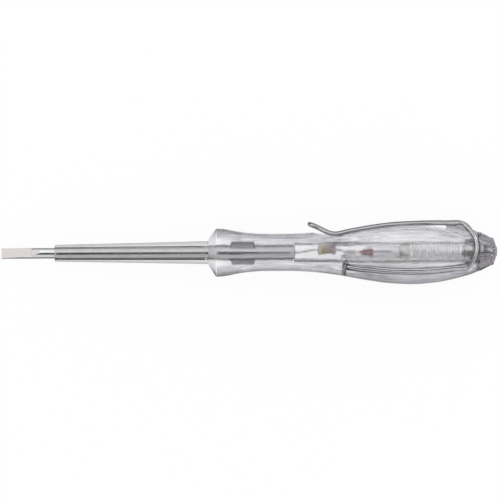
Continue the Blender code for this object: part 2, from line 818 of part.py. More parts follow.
def make_end_cap():
    hole = stud_radius + slip_gap
    hole_depth = stud_end_x + slip_gap - cap_x
    outline = [(hole_depth, 0), (hole_depth, hole), (0, hole)]
    outline += [(cap_length * x, cap_front_radius * r) for x, r in cap_shares]
    outline.append((cap_length, 0))
    cap = add_object("end_cap", turned_mesh("end_cap", outline, cap_segments), nickel, cap_x)

    flutes = []
    front_height = cap_front_radius + flute_radius - flute_sink
    rear_share = blend_table(flute_length / cap_length, cap_shares)
    rear_height = cap_front_radius * rear_share + flute_radius - flute_sink
    for k in range(flute_count):
        turn = Matrix.Rotation(flute_turn + 2 * math.pi * k / flute_count, 4, "X")
        run = (rear_height - front_height) / flute_length
        start = Vector((-overrun, 0, front_height - run * overrun))
        end = Vector((flute_length, 0, rear_height))
        flute = tube_mesh("flute", (turn @ start, turn @ end), flute_radius, flute_sides)
        flutes.append(flute)
    combine(cap, helper(joined_mesh("end_cap_flutes", flutes), cap_x))

    notches = []
    ring_x = cap_length * bump_ring_share
    ring_radius = cap_front_radius * blend_table(bump_ring_share, cap_shares)
    for k in range(bump_count):
        turn = Matrix.Rotation(2 * math.pi * (k + 0.5) / bump_count, 4, "X")
        out = Vector((1, 0, 1)).normalized() * bump_notch_radius
        along = Vector((-1, 0, 1)).normalized() * (2 * bump_notch_radius)
        middle = Vector((ring_x, 0, ring_radius)) + out / 2
        ends = (turn @ (middle - along), turn @ (middle + along))
        notches.append(tube_mesh("notch", ends, bump_notch_radius, notch_sides))
    combine(cap, helper(joined_mesh("end_cap_notches", notches), cap_x))


clear_scene()
steel = material("blade_steel", (0.62, 0.62, 0.62), 0.22, 1)
sleeve_plastic = material("sleeve_plastic", (0.9, 0.9, 0.92), 0.05, 0, 0.35)
clear_plastic = material("clear_plastic", (0.87, 0.87, 0.9), 0.04, 0, 0.35)
spring_steel = material("spring_steel", (0.66, 0.66, 0.67), 0.16, 1)
ceramic = material("resistor_ceramic", (0.62, 0.5, 0.36), 0.5)
tin = material("tinned_metal", (0.5, 0.44, 0.46), 0.35, 1)
brass = material("brass", (0.7, 0.58, 0.36), 0.3, 1)
red_glass = material("red_glass", (0.7, 0.22, 0.28), 0.15)
lamp_glass = material("lamp_glass", (0.92, 0.9, 0.92), 0.03, 0, 0.3)
nickel_wire = material("nickel_wire", (0.6, 0.6, 0.6), 0.25, 1)
nickel = material("nickel", (0.56, 0.55, 0.58), 0.25, 1)

tool = bpy.data.objects.new("tool", None)
bpy.context.scene.collection.objects.link(tool)
tool.rotation_euler = (clip_roll - math.pi / 2, 0, 0)

make_blade()
make_sleeve()
make_handle(make_clip())
make_resistor()
make_resistor_leads()
make_ferrule()
make_bead()
make_electrodes()
make_lamp_glass()
make_contact_cap()
make_spring()
make_seat()
make_stud()
make_end_cap()
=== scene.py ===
import math

import bpy
import numpy as np
from mathutils import Matrix, Vector


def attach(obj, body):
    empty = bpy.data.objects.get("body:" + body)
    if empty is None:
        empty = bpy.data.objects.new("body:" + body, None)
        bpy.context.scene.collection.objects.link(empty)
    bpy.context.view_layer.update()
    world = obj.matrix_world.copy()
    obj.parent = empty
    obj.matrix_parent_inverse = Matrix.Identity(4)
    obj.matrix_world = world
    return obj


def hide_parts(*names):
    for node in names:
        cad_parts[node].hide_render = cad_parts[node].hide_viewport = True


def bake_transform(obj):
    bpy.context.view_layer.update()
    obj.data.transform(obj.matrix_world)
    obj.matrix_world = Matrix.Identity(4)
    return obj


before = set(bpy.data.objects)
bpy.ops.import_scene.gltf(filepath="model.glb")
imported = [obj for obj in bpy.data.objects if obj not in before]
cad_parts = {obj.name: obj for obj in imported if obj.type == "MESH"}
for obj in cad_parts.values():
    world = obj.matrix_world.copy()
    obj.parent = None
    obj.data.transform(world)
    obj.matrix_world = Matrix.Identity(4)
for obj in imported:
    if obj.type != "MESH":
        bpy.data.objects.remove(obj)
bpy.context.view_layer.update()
print("frame loaded")

# All lengths of the pieces are millimetres in the tool's own frame: x from the blade's tip to the cap,
# z towards the clip, y square to both. Angles round the tool are counted from the clip's direction.
clipRoll = math.radians(4)
rollCos, rollSin = math.cos(clipRoll), math.sin(clipRoll)


# Turn about x, from the tool's frame to the part's, and millimetres to metres:
# Y = y sin(roll) + z cos(roll), Z = z sin(roll) - y cos(roll).
def toPart(points):
    x, y, z = np.moveaxis(np.asarray(points, float), -1, 0)
    return np.stack([x, y * rollSin + z * rollCos, z * rollSin - y * rollCos], axis=-1) * 0.001


# Share s of the way from a to b.
def between(a, b, s):
    return a + (b - a) * s


# Share of the way up a ramp of this length, from start: (x - start) / length, kept between 0 and 1.
def ramp(x, start, length):
    return np.clip((x - start) / length, 0, 1)


# Soft step: 3 s^2 - 2 s^3.
def softStep(s):
    return s * s * (3 - 2 * s)


# A divisor's size, kept off nought.
def notZero(value):
    return np.maximum(np.abs(value), 1e-6)


# One cubic piece, w long, from a with slope p to b with slope q, at share t.
def cubicPiece(a, p, b, q, w, t):
    return (a * (1 + 2 * t) * (1 - t) ** 2 + p * w * t * (1 - t) ** 2
            + b * t * t * (3 - 2 * t) + q * w * t * t * (t - 1))


# Cubic pieces through a table of (share, value): each slope is the chord between its neighbours.
def readTable(shares, table):
    xs, ys = np.array(table, float).T
    slopes = np.zeros(len(xs))
    slopes[1:-1] = (ys[2:] - ys[:-2]) / (xs[2:] - xs[:-2])
    shares = np.clip(shares, xs[0], xs[-1])
    i = np.clip(np.searchsorted(xs, shares) - 1, 0, len(xs) - 2)
    w = xs[i + 1] - xs[i]
    return cubicPiece(ys[i], slopes[i], ys[i + 1], slopes[i + 1], w, (shares - xs[i]) / w)


# The same cubic pieces in space, read at even steps along the chords' summed length. The way at a key lies
# between its two chords' ways, nearer to the shorter one's.
def smoothCurve(keys, step):
    keys = np.array(keys, float)
    lengths = np.linalg.norm(np.diff(keys, axis=0), axis=1)
    chords = np.diff(keys, axis=0) / lengths[:, None]
    share = (lengths[:-1] / (lengths[:-1] + lengths[1:]))[:, None]
    ways = np.vstack([chords[:1], between(chords[:-1], chords[1:], share), chords[-1:]])
    ends = np.concatenate([[0], np.cumsum(lengths)])
    s = np.linspace(0, ends[-1], max(6, int(ends[-1] / step) + 1))
    i = np.clip(np.searchsorted(ends, s, side="right") - 1, 0, len(lengths) - 1)
    w = lengths[i][:, None]
    return cubicPiece(keys[i], ways[i], keys[i + 1], ways[i + 1], w, (s - ends[i])[:, None] / w)


# Places in a row: a plain number is one of them, (from, to, count) is even steps with both ends in it, and
# (from, to, step) with a decimal step stops short of its end.
def spans(*parts):
    return np.concatenate([[part] if not isinstance(part, tuple) else np.linspace(*part)
                           if isinstance(part[2], int) else np.arange(*part) for part in parts])


# Even angles round the tool, as one row of an array.
def evenAngles(columns):
    return 2 * np.pi * np.arange(columns)[None, :] / columns


# Angles of columns that run evenly from each stop to the next, count by count, and mirrored at the last stop.
def stoppedAngles(stops, counts):
    stops = np.broadcast_arrays(*stops)
    half = np.concatenate([between(a, b, np.linspace(0, 1, count, endpoint=False))
                           for a, b, count in zip(stops, stops[1:], counts)], axis=1)
    return np.concatenate([half, stops[-1], 2 * stops[-1] - half[:, :0:-1]], axis=1)


# Points at (x, angle, radius) round the tool: y = side * r sin(angle), z = r cos(angle).
def polar(x, angle, radius, side=-1):
    x, angle, radius = np.broadcast_arrays(np.asarray(x, float), angle, radius)
    return np.stack([x, side * radius * np.sin(angle), radius * np.cos(angle)], axis=-1)


# Radius at which a ray from the axis first enters a tube of radius reach round each path point P:
# r = p cos(d) - sqrt(reach^2 - dx^2 - p^2 sin^2(d)), the least over all P, or the old radius if that is less.
def carve(x, angle, radius, path, reach):
    out = radius.copy()
    px, pr = path[:, 0], np.hypot(path[:, 1], path[:, 2])
    pa = np.arctan2(-path[:, 1], path[:, 2])
    for rows in np.array_split(np.arange(len(x)), max(1, len(x) // 12)):  # a dozen rows at once, to save memory
        near = (px > x[rows].min() - reach) & (px < x[rows].max() + reach)
        if near.any():
            dx, d = x[rows][..., None] - px[near], angle[rows][..., None] - pa[near]
            root = reach**2 - dx**2 - (pr[near] * np.sin(d)) ** 2
            enter = pr[near] * np.cos(d) - np.sqrt(np.maximum(root, 0))
            enter = np.where((root > 0) & (np.cos(d) > 0), enter, np.inf)
            out[rows] = np.minimum(out[rows], enter.min(axis=-1))
    return out


# A closed mesh from a grid of points[i, j]: i runs along the piece and j round it. The ends are fans to a
# middle point, or the last row joins the first where the grid is a ring in both directions. Its own map is
# u = length along the piece, v = share of a turn times the widest girth, both in millimetres.
def gridMesh(points, ring=False):
    n, m = points.shape[:2]
    i, j = (index.ravel() for index in np.indices((n if ring else n - 1, m)))
    nextI, nextJ = (i + 1) % n, (j + 1) % m
    quads = np.stack([i * m + j, i * m + nextJ, nextI * m + nextJ, nextI * m + j], axis=1)
    steps = np.linalg.norm(np.roll(points[:, 0], -1, axis=0) - points[:, 0], axis=1)
    along = np.concatenate([[0], np.cumsum(steps)])
    girth = np.linalg.norm(np.roll(points, -1, axis=1) - points, axis=-1).sum(axis=1).max()
    u = along[np.stack([i, i, i + 1, i + 1], axis=1)]
    v = np.stack([j, j + 1, j + 1, j], axis=1) * (girth / m)
    faces = [(quads, np.stack([u, v], axis=-1))]
    vertices = points.reshape(-1, 3)
    if not ring:
        middles = points.mean(axis=1)
        vertices = np.vstack([vertices, middles[0], middles[-1]])
        k, nextK = np.arange(m), (np.arange(m) + 1) % m
        fans = np.vstack([np.stack([0 * k + n * m, nextK, k], axis=1),
                          np.stack([0 * k + n * m + 1, (n - 1) * m + k, (n - 1) * m + nextK], axis=1)])
        faces.append((fans, vertices[fans][..., 1:]))
    # The signed volume, a . (b x c) summed over the triangles, tells whether the faces point out
    volume = sum(np.sum(vertices[face[:, 0]] * np.cross(vertices[face[:, k]], vertices[face[:, k + 1]]))
                 for face, uv in faces for k in range(1, face.shape[1] - 1))
    if volume < 0:
        faces = [(face[:, ::-1], uv[:, ::-1]) for face, uv in faces]
    sizes = np.concatenate([np.full(len(face), face.shape[1]) for face, uv in faces])
    loops = np.concatenate([face.ravel() for face, uv in faces])
    uvs = np.concatenate([uv.ravel() for face, uv in faces])
    mesh = bpy.data.meshes.new("grid")
    mesh.vertices.add(len(vertices))
    mesh.vertices.foreach_set("co", toPart(vertices).astype(np.float32).ravel())
    mesh.loops.add(len(loops))
    mesh.loops.foreach_set("vertex_index", loops.astype(np.int32))
    mesh.polygons.add(len(sizes))
    mesh.polygons.foreach_set("loop_start", (np.cumsum(sizes) - sizes).astype(np.int32))
    mesh.uv_layers.new(name="along").data.foreach_set("uv", uvs.astype(np.float32))
    mesh.update(calc_edges=True)
    mesh.validate()
    return mesh


# Makes an object of the data and puts it in the scene.
def putInScene(name, data):
    made = bpy.data.objects.new(name, data)
    bpy.context.scene.collection.objects.link(made)
    return made


# Puts a finished mesh in the scene with its finish, attaches it to its body and hides its CAD nodes. A body may be
# (body, other body, start, end): such a piece is left unattached, with its place baked into its mesh.
def addPiece(name, mesh, finish, slotName, body, *nodes, sharpAngle=35):
    mesh.name = name
    mesh.materials.append(finish)
    mesh.shade_smooth()
    mesh.set_sharp_from_angle(angle=math.radians(sharpAngle))
    piece = putInScene(name, mesh)
    if isinstance(body, str):
        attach(piece, body)
    else:
        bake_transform(piece)
    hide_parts(*nodes)
    print("made", name, len(mesh.polygons), "faces")


# A profile of (x, radius) rows turned about x, and lifted towards the clip.
def turned(profile, columns, ring=False, lift=0):
    rows = np.array(profile, float)
    return gridMesh(polar(rows[:, :1], evenAngles(columns), rows[:, 1:]) + (0, 0, lift), ring)


# Rounds each inner corner of a profile: four points of the curve a (1 - t)^2 + 2 c t (1 - t) + b t^2, from a
# step before the corner c to a step after it, each step less than half of its side.
def rounded(profile, size, closed=False):
    rows = np.array(profile, float)
    out = []
    for before, here, after in zip(np.roll(rows, 1, axis=0), rows, np.roll(rows, -1, axis=0)):
        sides = [(there - here, np.linalg.norm(there - here)) for there in (before, after)]
        a, b = (here + side / length * min(size, 0.45 * length) for side, length in sides)
        out.append([a * (1 - t) ** 2 + here * 2 * t * (1 - t) + b * t * t for t in (0, 0.33, 0.67, 1)])
    return np.vstack(out if closed else [rows[:1], *out[1:-1], rows[-1:]])


# A round section carried along a path: P + radius (N cos a + B sin a), with N carried on without twist.
def tube(path, radius, columns):
    way = np.gradient(path, axis=0)
    way /= np.linalg.norm(way, axis=1)[:, None]
    normal = np.zeros_like(path)
    carried = np.cross(way[0], (0.3, 0.2, 0.93))  # any way that no path here starts in will do
    for k in range(len(path)):
        carried = carried - way[k] * carried.dot(way[k])
        carried /= np.linalg.norm(carried)
        normal[k] = carried
    angle = evenAngles(columns)[..., None]
    section = normal[:, None] * np.cos(angle) + np.cross(way, normal)[:, None] * np.sin(angle)
    return gridMesh(path[:, None] + section * np.broadcast_to(radius, len(path))[:, None, None])


# Radii along a tube whose two ends are rounded off: r sqrt(1 - (1 - s / e)^2) over the last e millimetres.
def softEnds(path, radius, length):
    s = np.concatenate([[0], np.cumsum(np.linalg.norm(np.diff(path, axis=0), axis=1))])
    near = np.clip(np.minimum(s, s[-1] - s) / length, 0.12, 1)
    return radius * np.sqrt(1 - (1 - near) ** 2)


# One socket of a node tree, so that plain sums on it add Math nodes.
class Value:
    def __init__(self, finish, socket):
        self.finish, self.socket = finish, socket

    def math(self, operation, *others, swapped=False):
        values = (self, *others)[::-1] if swapped else (self, *others)
        return self.finish.add("ShaderNodeMath", {"operation": operation}, dict(enumerate(values)))

    def __add__(self, other):
        return self.math("ADD", other)

    def __sub__(self, other):
        return self.math("SUBTRACT", other)

    def __rsub__(self, other):
        return self.math("SUBTRACT", other, swapped=True)

    def __mul__(self, other):
        return self.math("MULTIPLY", other)

    def __gt__(self, other):
        return self.math("GREATER_THAN", other)

    def __lt__(self, other):
        return self.math("LESS_THAN", other)

    __radd__, __rmul__ = __add__, __mul__


# One material: add makes its nodes, and set fills in its shader.
class Finish:
    def __init__(self, name, colour, roughness, **fixed):
        self.owner = bpy.data.materials.new(name)
        self.owner.use_nodes = True
        self.tree = self.owner.node_tree
        self.surface = self.tree.nodes["Principled BSDF"]
        self.set(Base_Color=colour, Roughness=roughness, **fixed)

    # Adds a node: its type, its settings first, then numbers, colours or links for its inputs. It gives one
    # output, or a list of them where a tuple names several.
    def add(self, kind, settings=None, inputs=None, output=0):
        node = self.tree.nodes.new(kind)
        for key, value in (settings or {}).items():
            setattr(node, key, value)
        for key, value in (inputs or {}).items():
            self.join(node.inputs[key], value)
        if isinstance(output, tuple):
            return [Value(self, node.outputs[key]) for key in output]
        return Value(self, node.outputs[output])

    def join(self, socket, value):
        if isinstance(value, Value):
            self.tree.links.new(value.socket, socket)
        else:
            socket.default_value = (*value, 1) if socket.type == "RGBA" else value

    def set(self, **inputs):
        for key, value in inputs.items():
            self.join(self.surface.inputs[key.replace("_", " ")], value)

    # The object's own x, y and z in millimetres.
    def axes(self):
        where = self.add("ShaderNodeTexCoord", output="Object")
        return [axis * 1000 for axis in self.add("ShaderNodeSeparateXYZ", None, {0: where}, (0, 1, 2))]

    # A noise of a size, detail and roughness; the object's coordinates, or its own map's, times a stretch, turned.
    def noise(self, size, detail, rough, stretch=(1000, 1000, 1000), turn=(0, 0, 0), ownMap=False):
        source = (self.add("ShaderNodeUVMap", {"uv_map": "along"}) if ownMap
                  else self.add("ShaderNodeTexCoord", output="Object"))
        where = self.add("ShaderNodeMapping", None, {"Vector": source, "Scale": stretch, "Rotation": turn})
        return self.add("ShaderNodeTexNoise", None,
                        {"Vector": where, "Scale": size, "Detail": detail, "Roughness": rough})

    # Turns the range of a value into the range from low to high; a noise mostly lies between 0.3 and 0.7.
    def spread(self, value, low, high, fromLow=0.3, fromHigh=0.7):
        return self.add("ShaderNodeMapRange", None, {"Value": value, "From Min": fromLow, "From Max": fromHigh,
                                                     "To Min": low, "To Max": high})

    def blend(self, factor, first, second):
        return self.add("ShaderNodeMix", {"data_type": "RGBA"}, {0: factor, 6: first, 7: second}, 2)

    def bump(self, height, strength, distance):
        return self.add("ShaderNodeBump", None, {"Height": height, "Strength": strength, "Distance": distance})


# In the looks below, colours are (red, green, blue), each noise is what Finish.noise takes, and each spread is
# (low, high, from, to). Depths of bumps are in metres.

# Clear plastic: faint moulding waves, flow lines along the tool, and fine scuffs that dull it in places.
def clearPlastic(name, look):
    finish = Finish(name, look["colour"], look["roughness"], IOR=look["ior"], Transmission_Weight=1.0)
    waves, flow, scuffs, clouds = (finish.noise(*look[key]) for key in ("waves", "flow", "scuffs", "clouds"))
    dull = (finish.spread(scuffs, 0.0, look["scuffDull"], *look["scuffRange"])
            + finish.spread(clouds, 0.0, look["cloudDull"]))
    finish.set(Roughness=dull + look["roughness"])
    tint = finish.blend(finish.spread(flow, 0, 1, *look["flowRange"]), look["colour"], look["flowColour"])
    x, across, up = finish.axes()
    facing = finish.add("ShaderNodeLayerWeight", None, {"Blend": 0.5}, "Facing")
    if "paintedGlareX" in look:
        # The flow lines start some way behind the front, where a painted glare stands in: near white where the
        # plastic faces the camera, painted shade at the sides. The middle as seen from the camera gets painted light
        # all along
        ahead = finish.spread(x + clouds * look["paintedGlareWobble"], 1, 0, *look["paintedGlareX"])
        sides = finish.spread(facing, 0, 1, *look["paintedSideShadeRange"]) * (x > look["rimX"])
        tint = finish.blend(ahead, tint, finish.blend(sides, look["boreAndPaintedGlareColour"], look["paintedSideShade"]))
        tint = finish.blend(finish.spread(facing, *look["paintedMiddleLight"]), tint, look["boreAndPaintedGlareColour"])
    # Painted shade: the colour turns to the edge shade as the surface turns from the camera
    tint = finish.blend(finish.spread(facing, 0, 1, look["edgeFrom"], 1.0), tint, look["paintedEdgeShade"])
    if "legAngle" in look:
        # Painted shade lies in the grooves beside the clip's legs, dark lines along each wire. Distance from a leg's
        # plane
        # through the axis: ||y| cos(a) - z sin(a)|, with y and z in the tool's frame
        toolY = (across * rollSin - up * rollCos).math("ABSOLUTE")
        toolZ = across * rollCos + up * rollSin
        fromLeg = (toolY * math.cos(look["legAngle"]) - toolZ * math.sin(look["legAngle"])).math("ABSOLUTE")
        start, end = look["grooveX"]
        inGroove = (fromLeg < look["grooveHalf"]) * (x > start) * (1 - (x > end))
        wireShade = finish.spread(fromLeg, 0, 1, look["wireHalf"], look["wireHalf"] + look["paintedShadeSoft"])
        tint = finish.blend(wireShade * inGroove, tint, look["paintedGrooveShade"])
    # The colour is in the thickness, so the walls of the bore, near the axis, hardly add to it
    inBore = across * across + up * up < look["boreRadius"] ** 2
    finish.set(Base_Color=finish.blend(inBore, tint, look["boreAndPaintedGlareColour"]),
               Normal=finish.bump(waves + flow * look["flowShare"], look["waveStrength"], look["waveDepth"]))
    return finish.owner


# Plain metal: a fine skin in gloss and height, and patches in gloss and colour.
def plainMetal(name, look):
    finish = Finish(name, look["colour"], look["roughness"], Metallic=1.0, Specular_Tint=look["paintedEdgeShade"])
    skin, patches = finish.noise(*look["skin"]), finish.noise(*look["patches"])
    dull = finish.spread(skin, *look["skinDull"]) + finish.spread(patches, *look["patchDull"])
    finish.set(Roughness=dull + look["roughness"],
               Base_Color=finish.blend(finish.spread(patches, *look["patchShare"]), look["colour"],
                                       look["dullColour"]),
               Normal=finish.bump(skin, look["strength"], look["depth"]))
    return finish.owner


# Ground and polished steel: fine rings round the shank, and cross lines on the ground flats near the tip.
def groundSteel(name, look):
    finish = Finish(name, look["colour"], look["roughness"], Metallic=1.0, Specular_Tint=look["paintedEdgeShade"])
    x, across, up = finish.axes()
    fromAxis = (across * across + up * up).math("SQRT")
    # The ground flats and the pressed wings are where the surface leaves the rod's own radius
    tip = (fromAxis < look["rodRadius"] - look["flatMargin"]) * (x < look["groundLength"])
    pressed = fromAxis > look["rodRadius"] + look["wingMargin"]
    moulded = x > look["mouldedX"]  # the length that the handle is moulded round, which is duller
    rings, crossLines, stain = (finish.noise(*look[key]) for key in ("rings", "crossLines", "stain"))
    lines = tip * crossLines + (1 - tip) * (1 - moulded * look["mouldedSmooth"]) * rings
    dull = tip * look["groundDull"] + pressed * look["pressedDull"] + moulded * look["mouldedDull"]
    dull = dull + finish.spread(lines, *look["lineDull"]) + finish.spread(stain, *look["stainDull"])
    shade = finish.blend(finish.spread(stain, *look["stainShare"]), look["colour"], look["dullColour"])
    shade = finish.blend(moulded, shade, look["mouldedColour"])
    finish.set(Roughness=dull + look["roughness"], Base_Color=finish.blend(tip, shade, look["groundColour"]),
               Normal=finish.bump(lines, look["strength"], look["depth"]))
    return finish.owner


# A grained skin whose colour changes somewhere along the tool, where x as moved by a wobble says.
def changingSkin(name, look):
    finish = Finish(name, look["colour"], look["roughness"], **look["fixed"])
    grain, wobble = finish.noise(*look["grain"]), finish.noise(*look["wobble"])
    changed = finish.spread(finish.axes()[0] + wobble * look["wobbleReach"], *look["change"])
    plain = finish.blend(finish.spread(grain, 0, 1), look["colour"], look["grainColour"])
    finish.set(Base_Color=finish.blend(changed, plain, look["changedColour"]),
               Roughness=finish.spread(grain, *look["grainDull"]) + look["roughness"],
               Normal=finish.bump(grain, look["strength"], look["depth"]))
    return finish.owner


# Matt paper or paint, with a fine weave in its gloss.
def mattPaint(name, shade, shine, weave):
    finish = Finish(name, (shade,) * 3, 0.9, Specular_IOR_Level=shine)
    finish.set(Roughness=finish.spread(finish.noise(*weave), 0.85, 0.95))
    return finish


# What the metals' looks share. The edge shade is painted shade: a tint that darkens a surface seen at a slant,
# as dark surroundings would
drawnSkin = dict(
    skin=(1.0, 4.0, 0.7, (0.25, 9, 1), (0, 0, 0), True), skinDull=(-0.04, 0.08), patches=(1.3, 3.0, 0.6),
    patchDull=(0.0, 0.12, 0.58, 0.75), patchShare=(0, 1, 0.4, 0.75), paintedEdgeShade=(0.16, 0.16, 0.17), depth=0.0001)
pebbledSkin = dict(
    skin=(4.0, 3.0, 0.55), skinDull=(-0.04, 0.08), patches=(0.8, 2.0, 0.5), patchDull=(-0.03, 0.06),
    patchShare=(0, 1), paintedEdgeShade=(0.16, 0.16, 0.17), depth=0.00005)
print("surfaces and finishes ready")

# The handle's outline, shared by handle and clip: places, radii, and tables of (share of the length, share of
# the rise or fall) for its three stretches
outline = dict(
    frontX=59.6, rimX=61.8, flareX=62.7, neckX=79.1, bulgeX=118.3, rearX=137.7, flareRadius=6.95, neckRadius=5.35,
    bulgeRadius=9.31, rearRadius=5.68,
    stretches=(((0, 0), (0.14, 0.17), (0.3, 0.49), (0.47, 0.75), (0.7, 0.95), (1, 1)),
               ((0, 0), (0.12, 0.01), (0.24, 0.07), (0.35, 0.18), (0.47, 0.34), (0.59, 0.56), (0.71, 0.76),
                (0.82, 0.91), (1, 1)),
               ((0, 0), (0.24, 0.065), (0.48, 0.24), (0.73, 0.54), (0.9, 0.8), (1, 1))),
    flatFrontX=89.5, flatRampX=95.8, flatRearX=128.1, flatDepth=1.9)


# Outer radius behind the collar: flare, swell and fall, each a share of the way from its first radius to its last.
def handleRadius(x):
    o = outline
    x = np.asarray(x, float)
    stations = [(o[name + "X"], o[name + "Radius"]) for name in ("flare", "neck", "bulge", "rear")]
    flare, swell, fall = (between(r, nextR, readTable((x - start) / (end - start), table))
                          for (start, r), (end, nextR), table in zip(stations, stations[1:], o["stretches"]))
    return np.where(x <= o["neckX"], flare, np.where(x <= o["bulgeX"], swell, fall))


# Height of the flat under the clip: the outline less the flat's depth, reached down a ramp.
def flatFloor(x):
    share = ramp(x, outline["flatFrontX"], outline["flatRampX"] - outline["flatFrontX"])
    return handleRadius(x) - outline["flatDepth"] * share


# In the clip's tables a share is how far along its run, arc or leg a key lies, and a ride is how high over the
# handle. Two points lie along bendWay through the hinge, bendBefore ahead of it and bendAfter past it
clip = dict(
    wireRadius=0.6, noseX=88.8, noseHeight=8.1, noseHalfWidth=1.7, noseTurns=(0, 30, 60, 90), bendX=95.8, lift=0.15,
    frontHalf=1.3, rearHalf=2.2, runShares=(0, 0.2, 0.45, 0.75), spreadX=119.0, spreadLength=3.4, topHeight=8.3,
    hingeX=133.2, hingeHeight=7.95, arcReach=3.65, arcRide=0.5, legAngle=math.radians(124), legRide=0.25, hookX=99.5,
    hookBend=1.3, hookEnd=3.2, arc=((0.28, 0.61), (0.45, 0.92), (0.6, 1.0), (0.76, 0.9), (0.9, 0.62), (1, 0.33)),
    legRides=((0.12, 1.3), (0.3, 1), (0.48, 0.8), (0.66, 0.9), (0.84, 0.5), (0.93, 0)), hook=((0.3, 0.35), (0, 1)),
    columns=20, step=0.35, softEnd=0.3, bendWay=np.array([0.15, 0, -1]) / 1.0112, bendBefore=1.0, bendAfter=2.4)
wireLook = dict(
    drawnSkin, colour=(0.5, 0.5, 0.52), dullColour=(0.4, 0.4, 0.42), roughness=0.14, strength=0.25)


# Key points of one half of the wire, from the middle of the nose to the end of the hook.
def halfClipKeys(side):
    c = clip

    def runHeight(x):
        return float(flatFloor(x)) + c["wireRadius"] + c["lift"]

    slope = np.array([c["bendX"] - c["noseX"], 0, runHeight(c["bendX"]) - c["noseHeight"]])
    back = slope / np.linalg.norm(slope) * c["noseHalfWidth"]
    out = np.array([0, side * c["noseHalfWidth"], 0])
    middle = np.array([c["noseX"], 0, c["noseHeight"]]) + back
    keys = [middle - back * math.cos(a) + out * math.sin(a) for a in np.radians(c["noseTurns"])]
    for share in c["runShares"]:
        x = between(c["bendX"], c["spreadX"], share)
        keys.append((x, side * c["frontHalf"], runHeight(x)))
    spreadEnd = c["spreadX"] + c["spreadLength"]
    keys += [
        (c["spreadX"], side * c["frontHalf"], (runHeight(c["spreadX"]) + c["topHeight"]) / 2),
        (spreadEnd, side * c["rearHalf"], c["topHeight"]),
        ((spreadEnd + c["hingeX"]) / 2, side * c["rearHalf"], c["topHeight"]),
        (c["hingeX"], side * c["rearHalf"], c["hingeHeight"]),
    ]
    for angleShare, reachShare in c["arc"]:
        x = c["hingeX"] + c["arcReach"] * reachShare
        keys.append(polar(x, c["legAngle"] * angleShare, handleRadius(x) + c["arcRide"], side))
    legStart = c["hingeX"] + c["arcReach"] * c["arc"][-1][1]
    for share, rideShare in c["legRides"]:
        x = between(legStart, c["hookX"], share)
        keys.append(polar(x, c["legAngle"], handleRadius(x) + c["legRide"] * rideShare, side))
    for backShare, depthShare in c["hook"]:
        radius = handleRadius(c["hookX"]) - c["hookBend"] * depthShare
        keys.append(polar(c["hookX"] + c["hookBend"] * backShare, c["legAngle"], radius, side))
    keys.append(polar(c["hookX"], c["legAngle"], c["hookEnd"], side))
    return np.array([np.ravel(key) for key in keys])


rightHalf, leftHalf = (smoothCurve(halfClipKeys(side), clip["step"]) for side in (-1, 1))
clipPath = np.vstack([rightHalf[::-1], leftHalf[1:]])
hinge = np.array([clip["hingeX"], 0, clip["hingeHeight"]])
bendStart, bendEnd = hinge - clip["bendWay"] * clip["bendBefore"], hinge + clip["bendWay"] * clip["bendAfter"]
clipMesh = tube(clipPath, softEnds(clipPath, clip["wireRadius"], clip["softEnd"]), clip["columns"])
addPiece("clip_wire", clipMesh, plainMetal("platedClipWire", wireLook), "spring_steel",
         ("clip", "grip", bendStart, bendEnd), "clip_arm", "clip_leg_left", "clip_leg_right")

# Rows are places along x, as spans reads them, and the rear edge is rows of (x, change of radius)
handle = dict(
    mouthRadius=3.41, mouthLand=0.35, bladeRadius=1.47, noseEndX=64.2, edge=0.22,
    rows=((64.7, 88, 0.55), (88, 98, 0.4), (98, 101, 0.12), (101, 127.4, 0.5), 127.7, 127.95, 128.06, 128.1, 128.12,
          128.18, 128.4, (128.7, 132, 0.4), (132, 137.45, 0.13)),
    rearEdge=((137.62, 0.01), (137.67, -0.01), (137.7, -0.06), (137.7, -1.4)),
    threadX=135.0, threadMajor=2.62, threadStep=0.09, threadFade=0.5, pitch=0.8, threadFromX=132.9,
    ridge=(0.12, 0.26), boreRadius=2.15, boreFrontX=60, boreStep=2.0, boreEdge=0.2, tailX=84.3, tailEdge=0.15,
    columnCounts=(24, 40, 26, 30), leastCrease=math.radians(14), flatMargin=0.01, flatCosine=0.2,
    grooveFrom=math.radians(116), grooveTo=math.radians(132), grooveFrontX=126, grooveHeight=3, grooveDepth=0.75,
    grooveGap=0.38, holeFloor=3.6, hookSink=0.12)
plasticSkin = dict(
    ior=1.49, scuffs=(1.0, 4.0, 0.65, (180, 2600, 1500), (0, 0, 0.5)), scuffRange=(0.58, 0.8),
    clouds=(0.35, 2.0, 0.5), flowRange=(0.35, 0.65), waveDepth=0.0004)
# The handle's look paints light and shade: a glare at the front, light in the middle, shade at sides, edges and leg
# grooves
plasticLook = dict(
    plasticSkin, colour=(0.95, 0.94, 0.97), roughness=0.015, scuffDull=0.09, cloudDull=0.0315, waves=(0.2, 1.5, 0.4),
    waveStrength=0.32, flow=(1.0, 4.0, 0.72, (50, 1150, 1150)), flowShare=0.65, flowColour=(0.25, 0.24, 0.285),
    edgeFrom=0.35, paintedEdgeShade=(0.3, 0.29, 0.33), boreRadius=2.7, boreAndPaintedGlareColour=(0.97, 0.97, 0.98), paintedGlareX=(63.5, 69.5),
    paintedGlareWobble=3, paintedSideShadeRange=(0.14, 0.27), paintedSideShade=(0.27, 0.26, 0.28), rimX=62.0,
    paintedMiddleLight=(0.75, 0, 0.03, 0.15), legAngle=clip["legAngle"], wireHalf=0.6, grooveHalf=1.2,
    grooveX=(98.6, 134.6), paintedShadeSoft=0.1, paintedGrooveShade=(0.05, 0.05, 0.065))


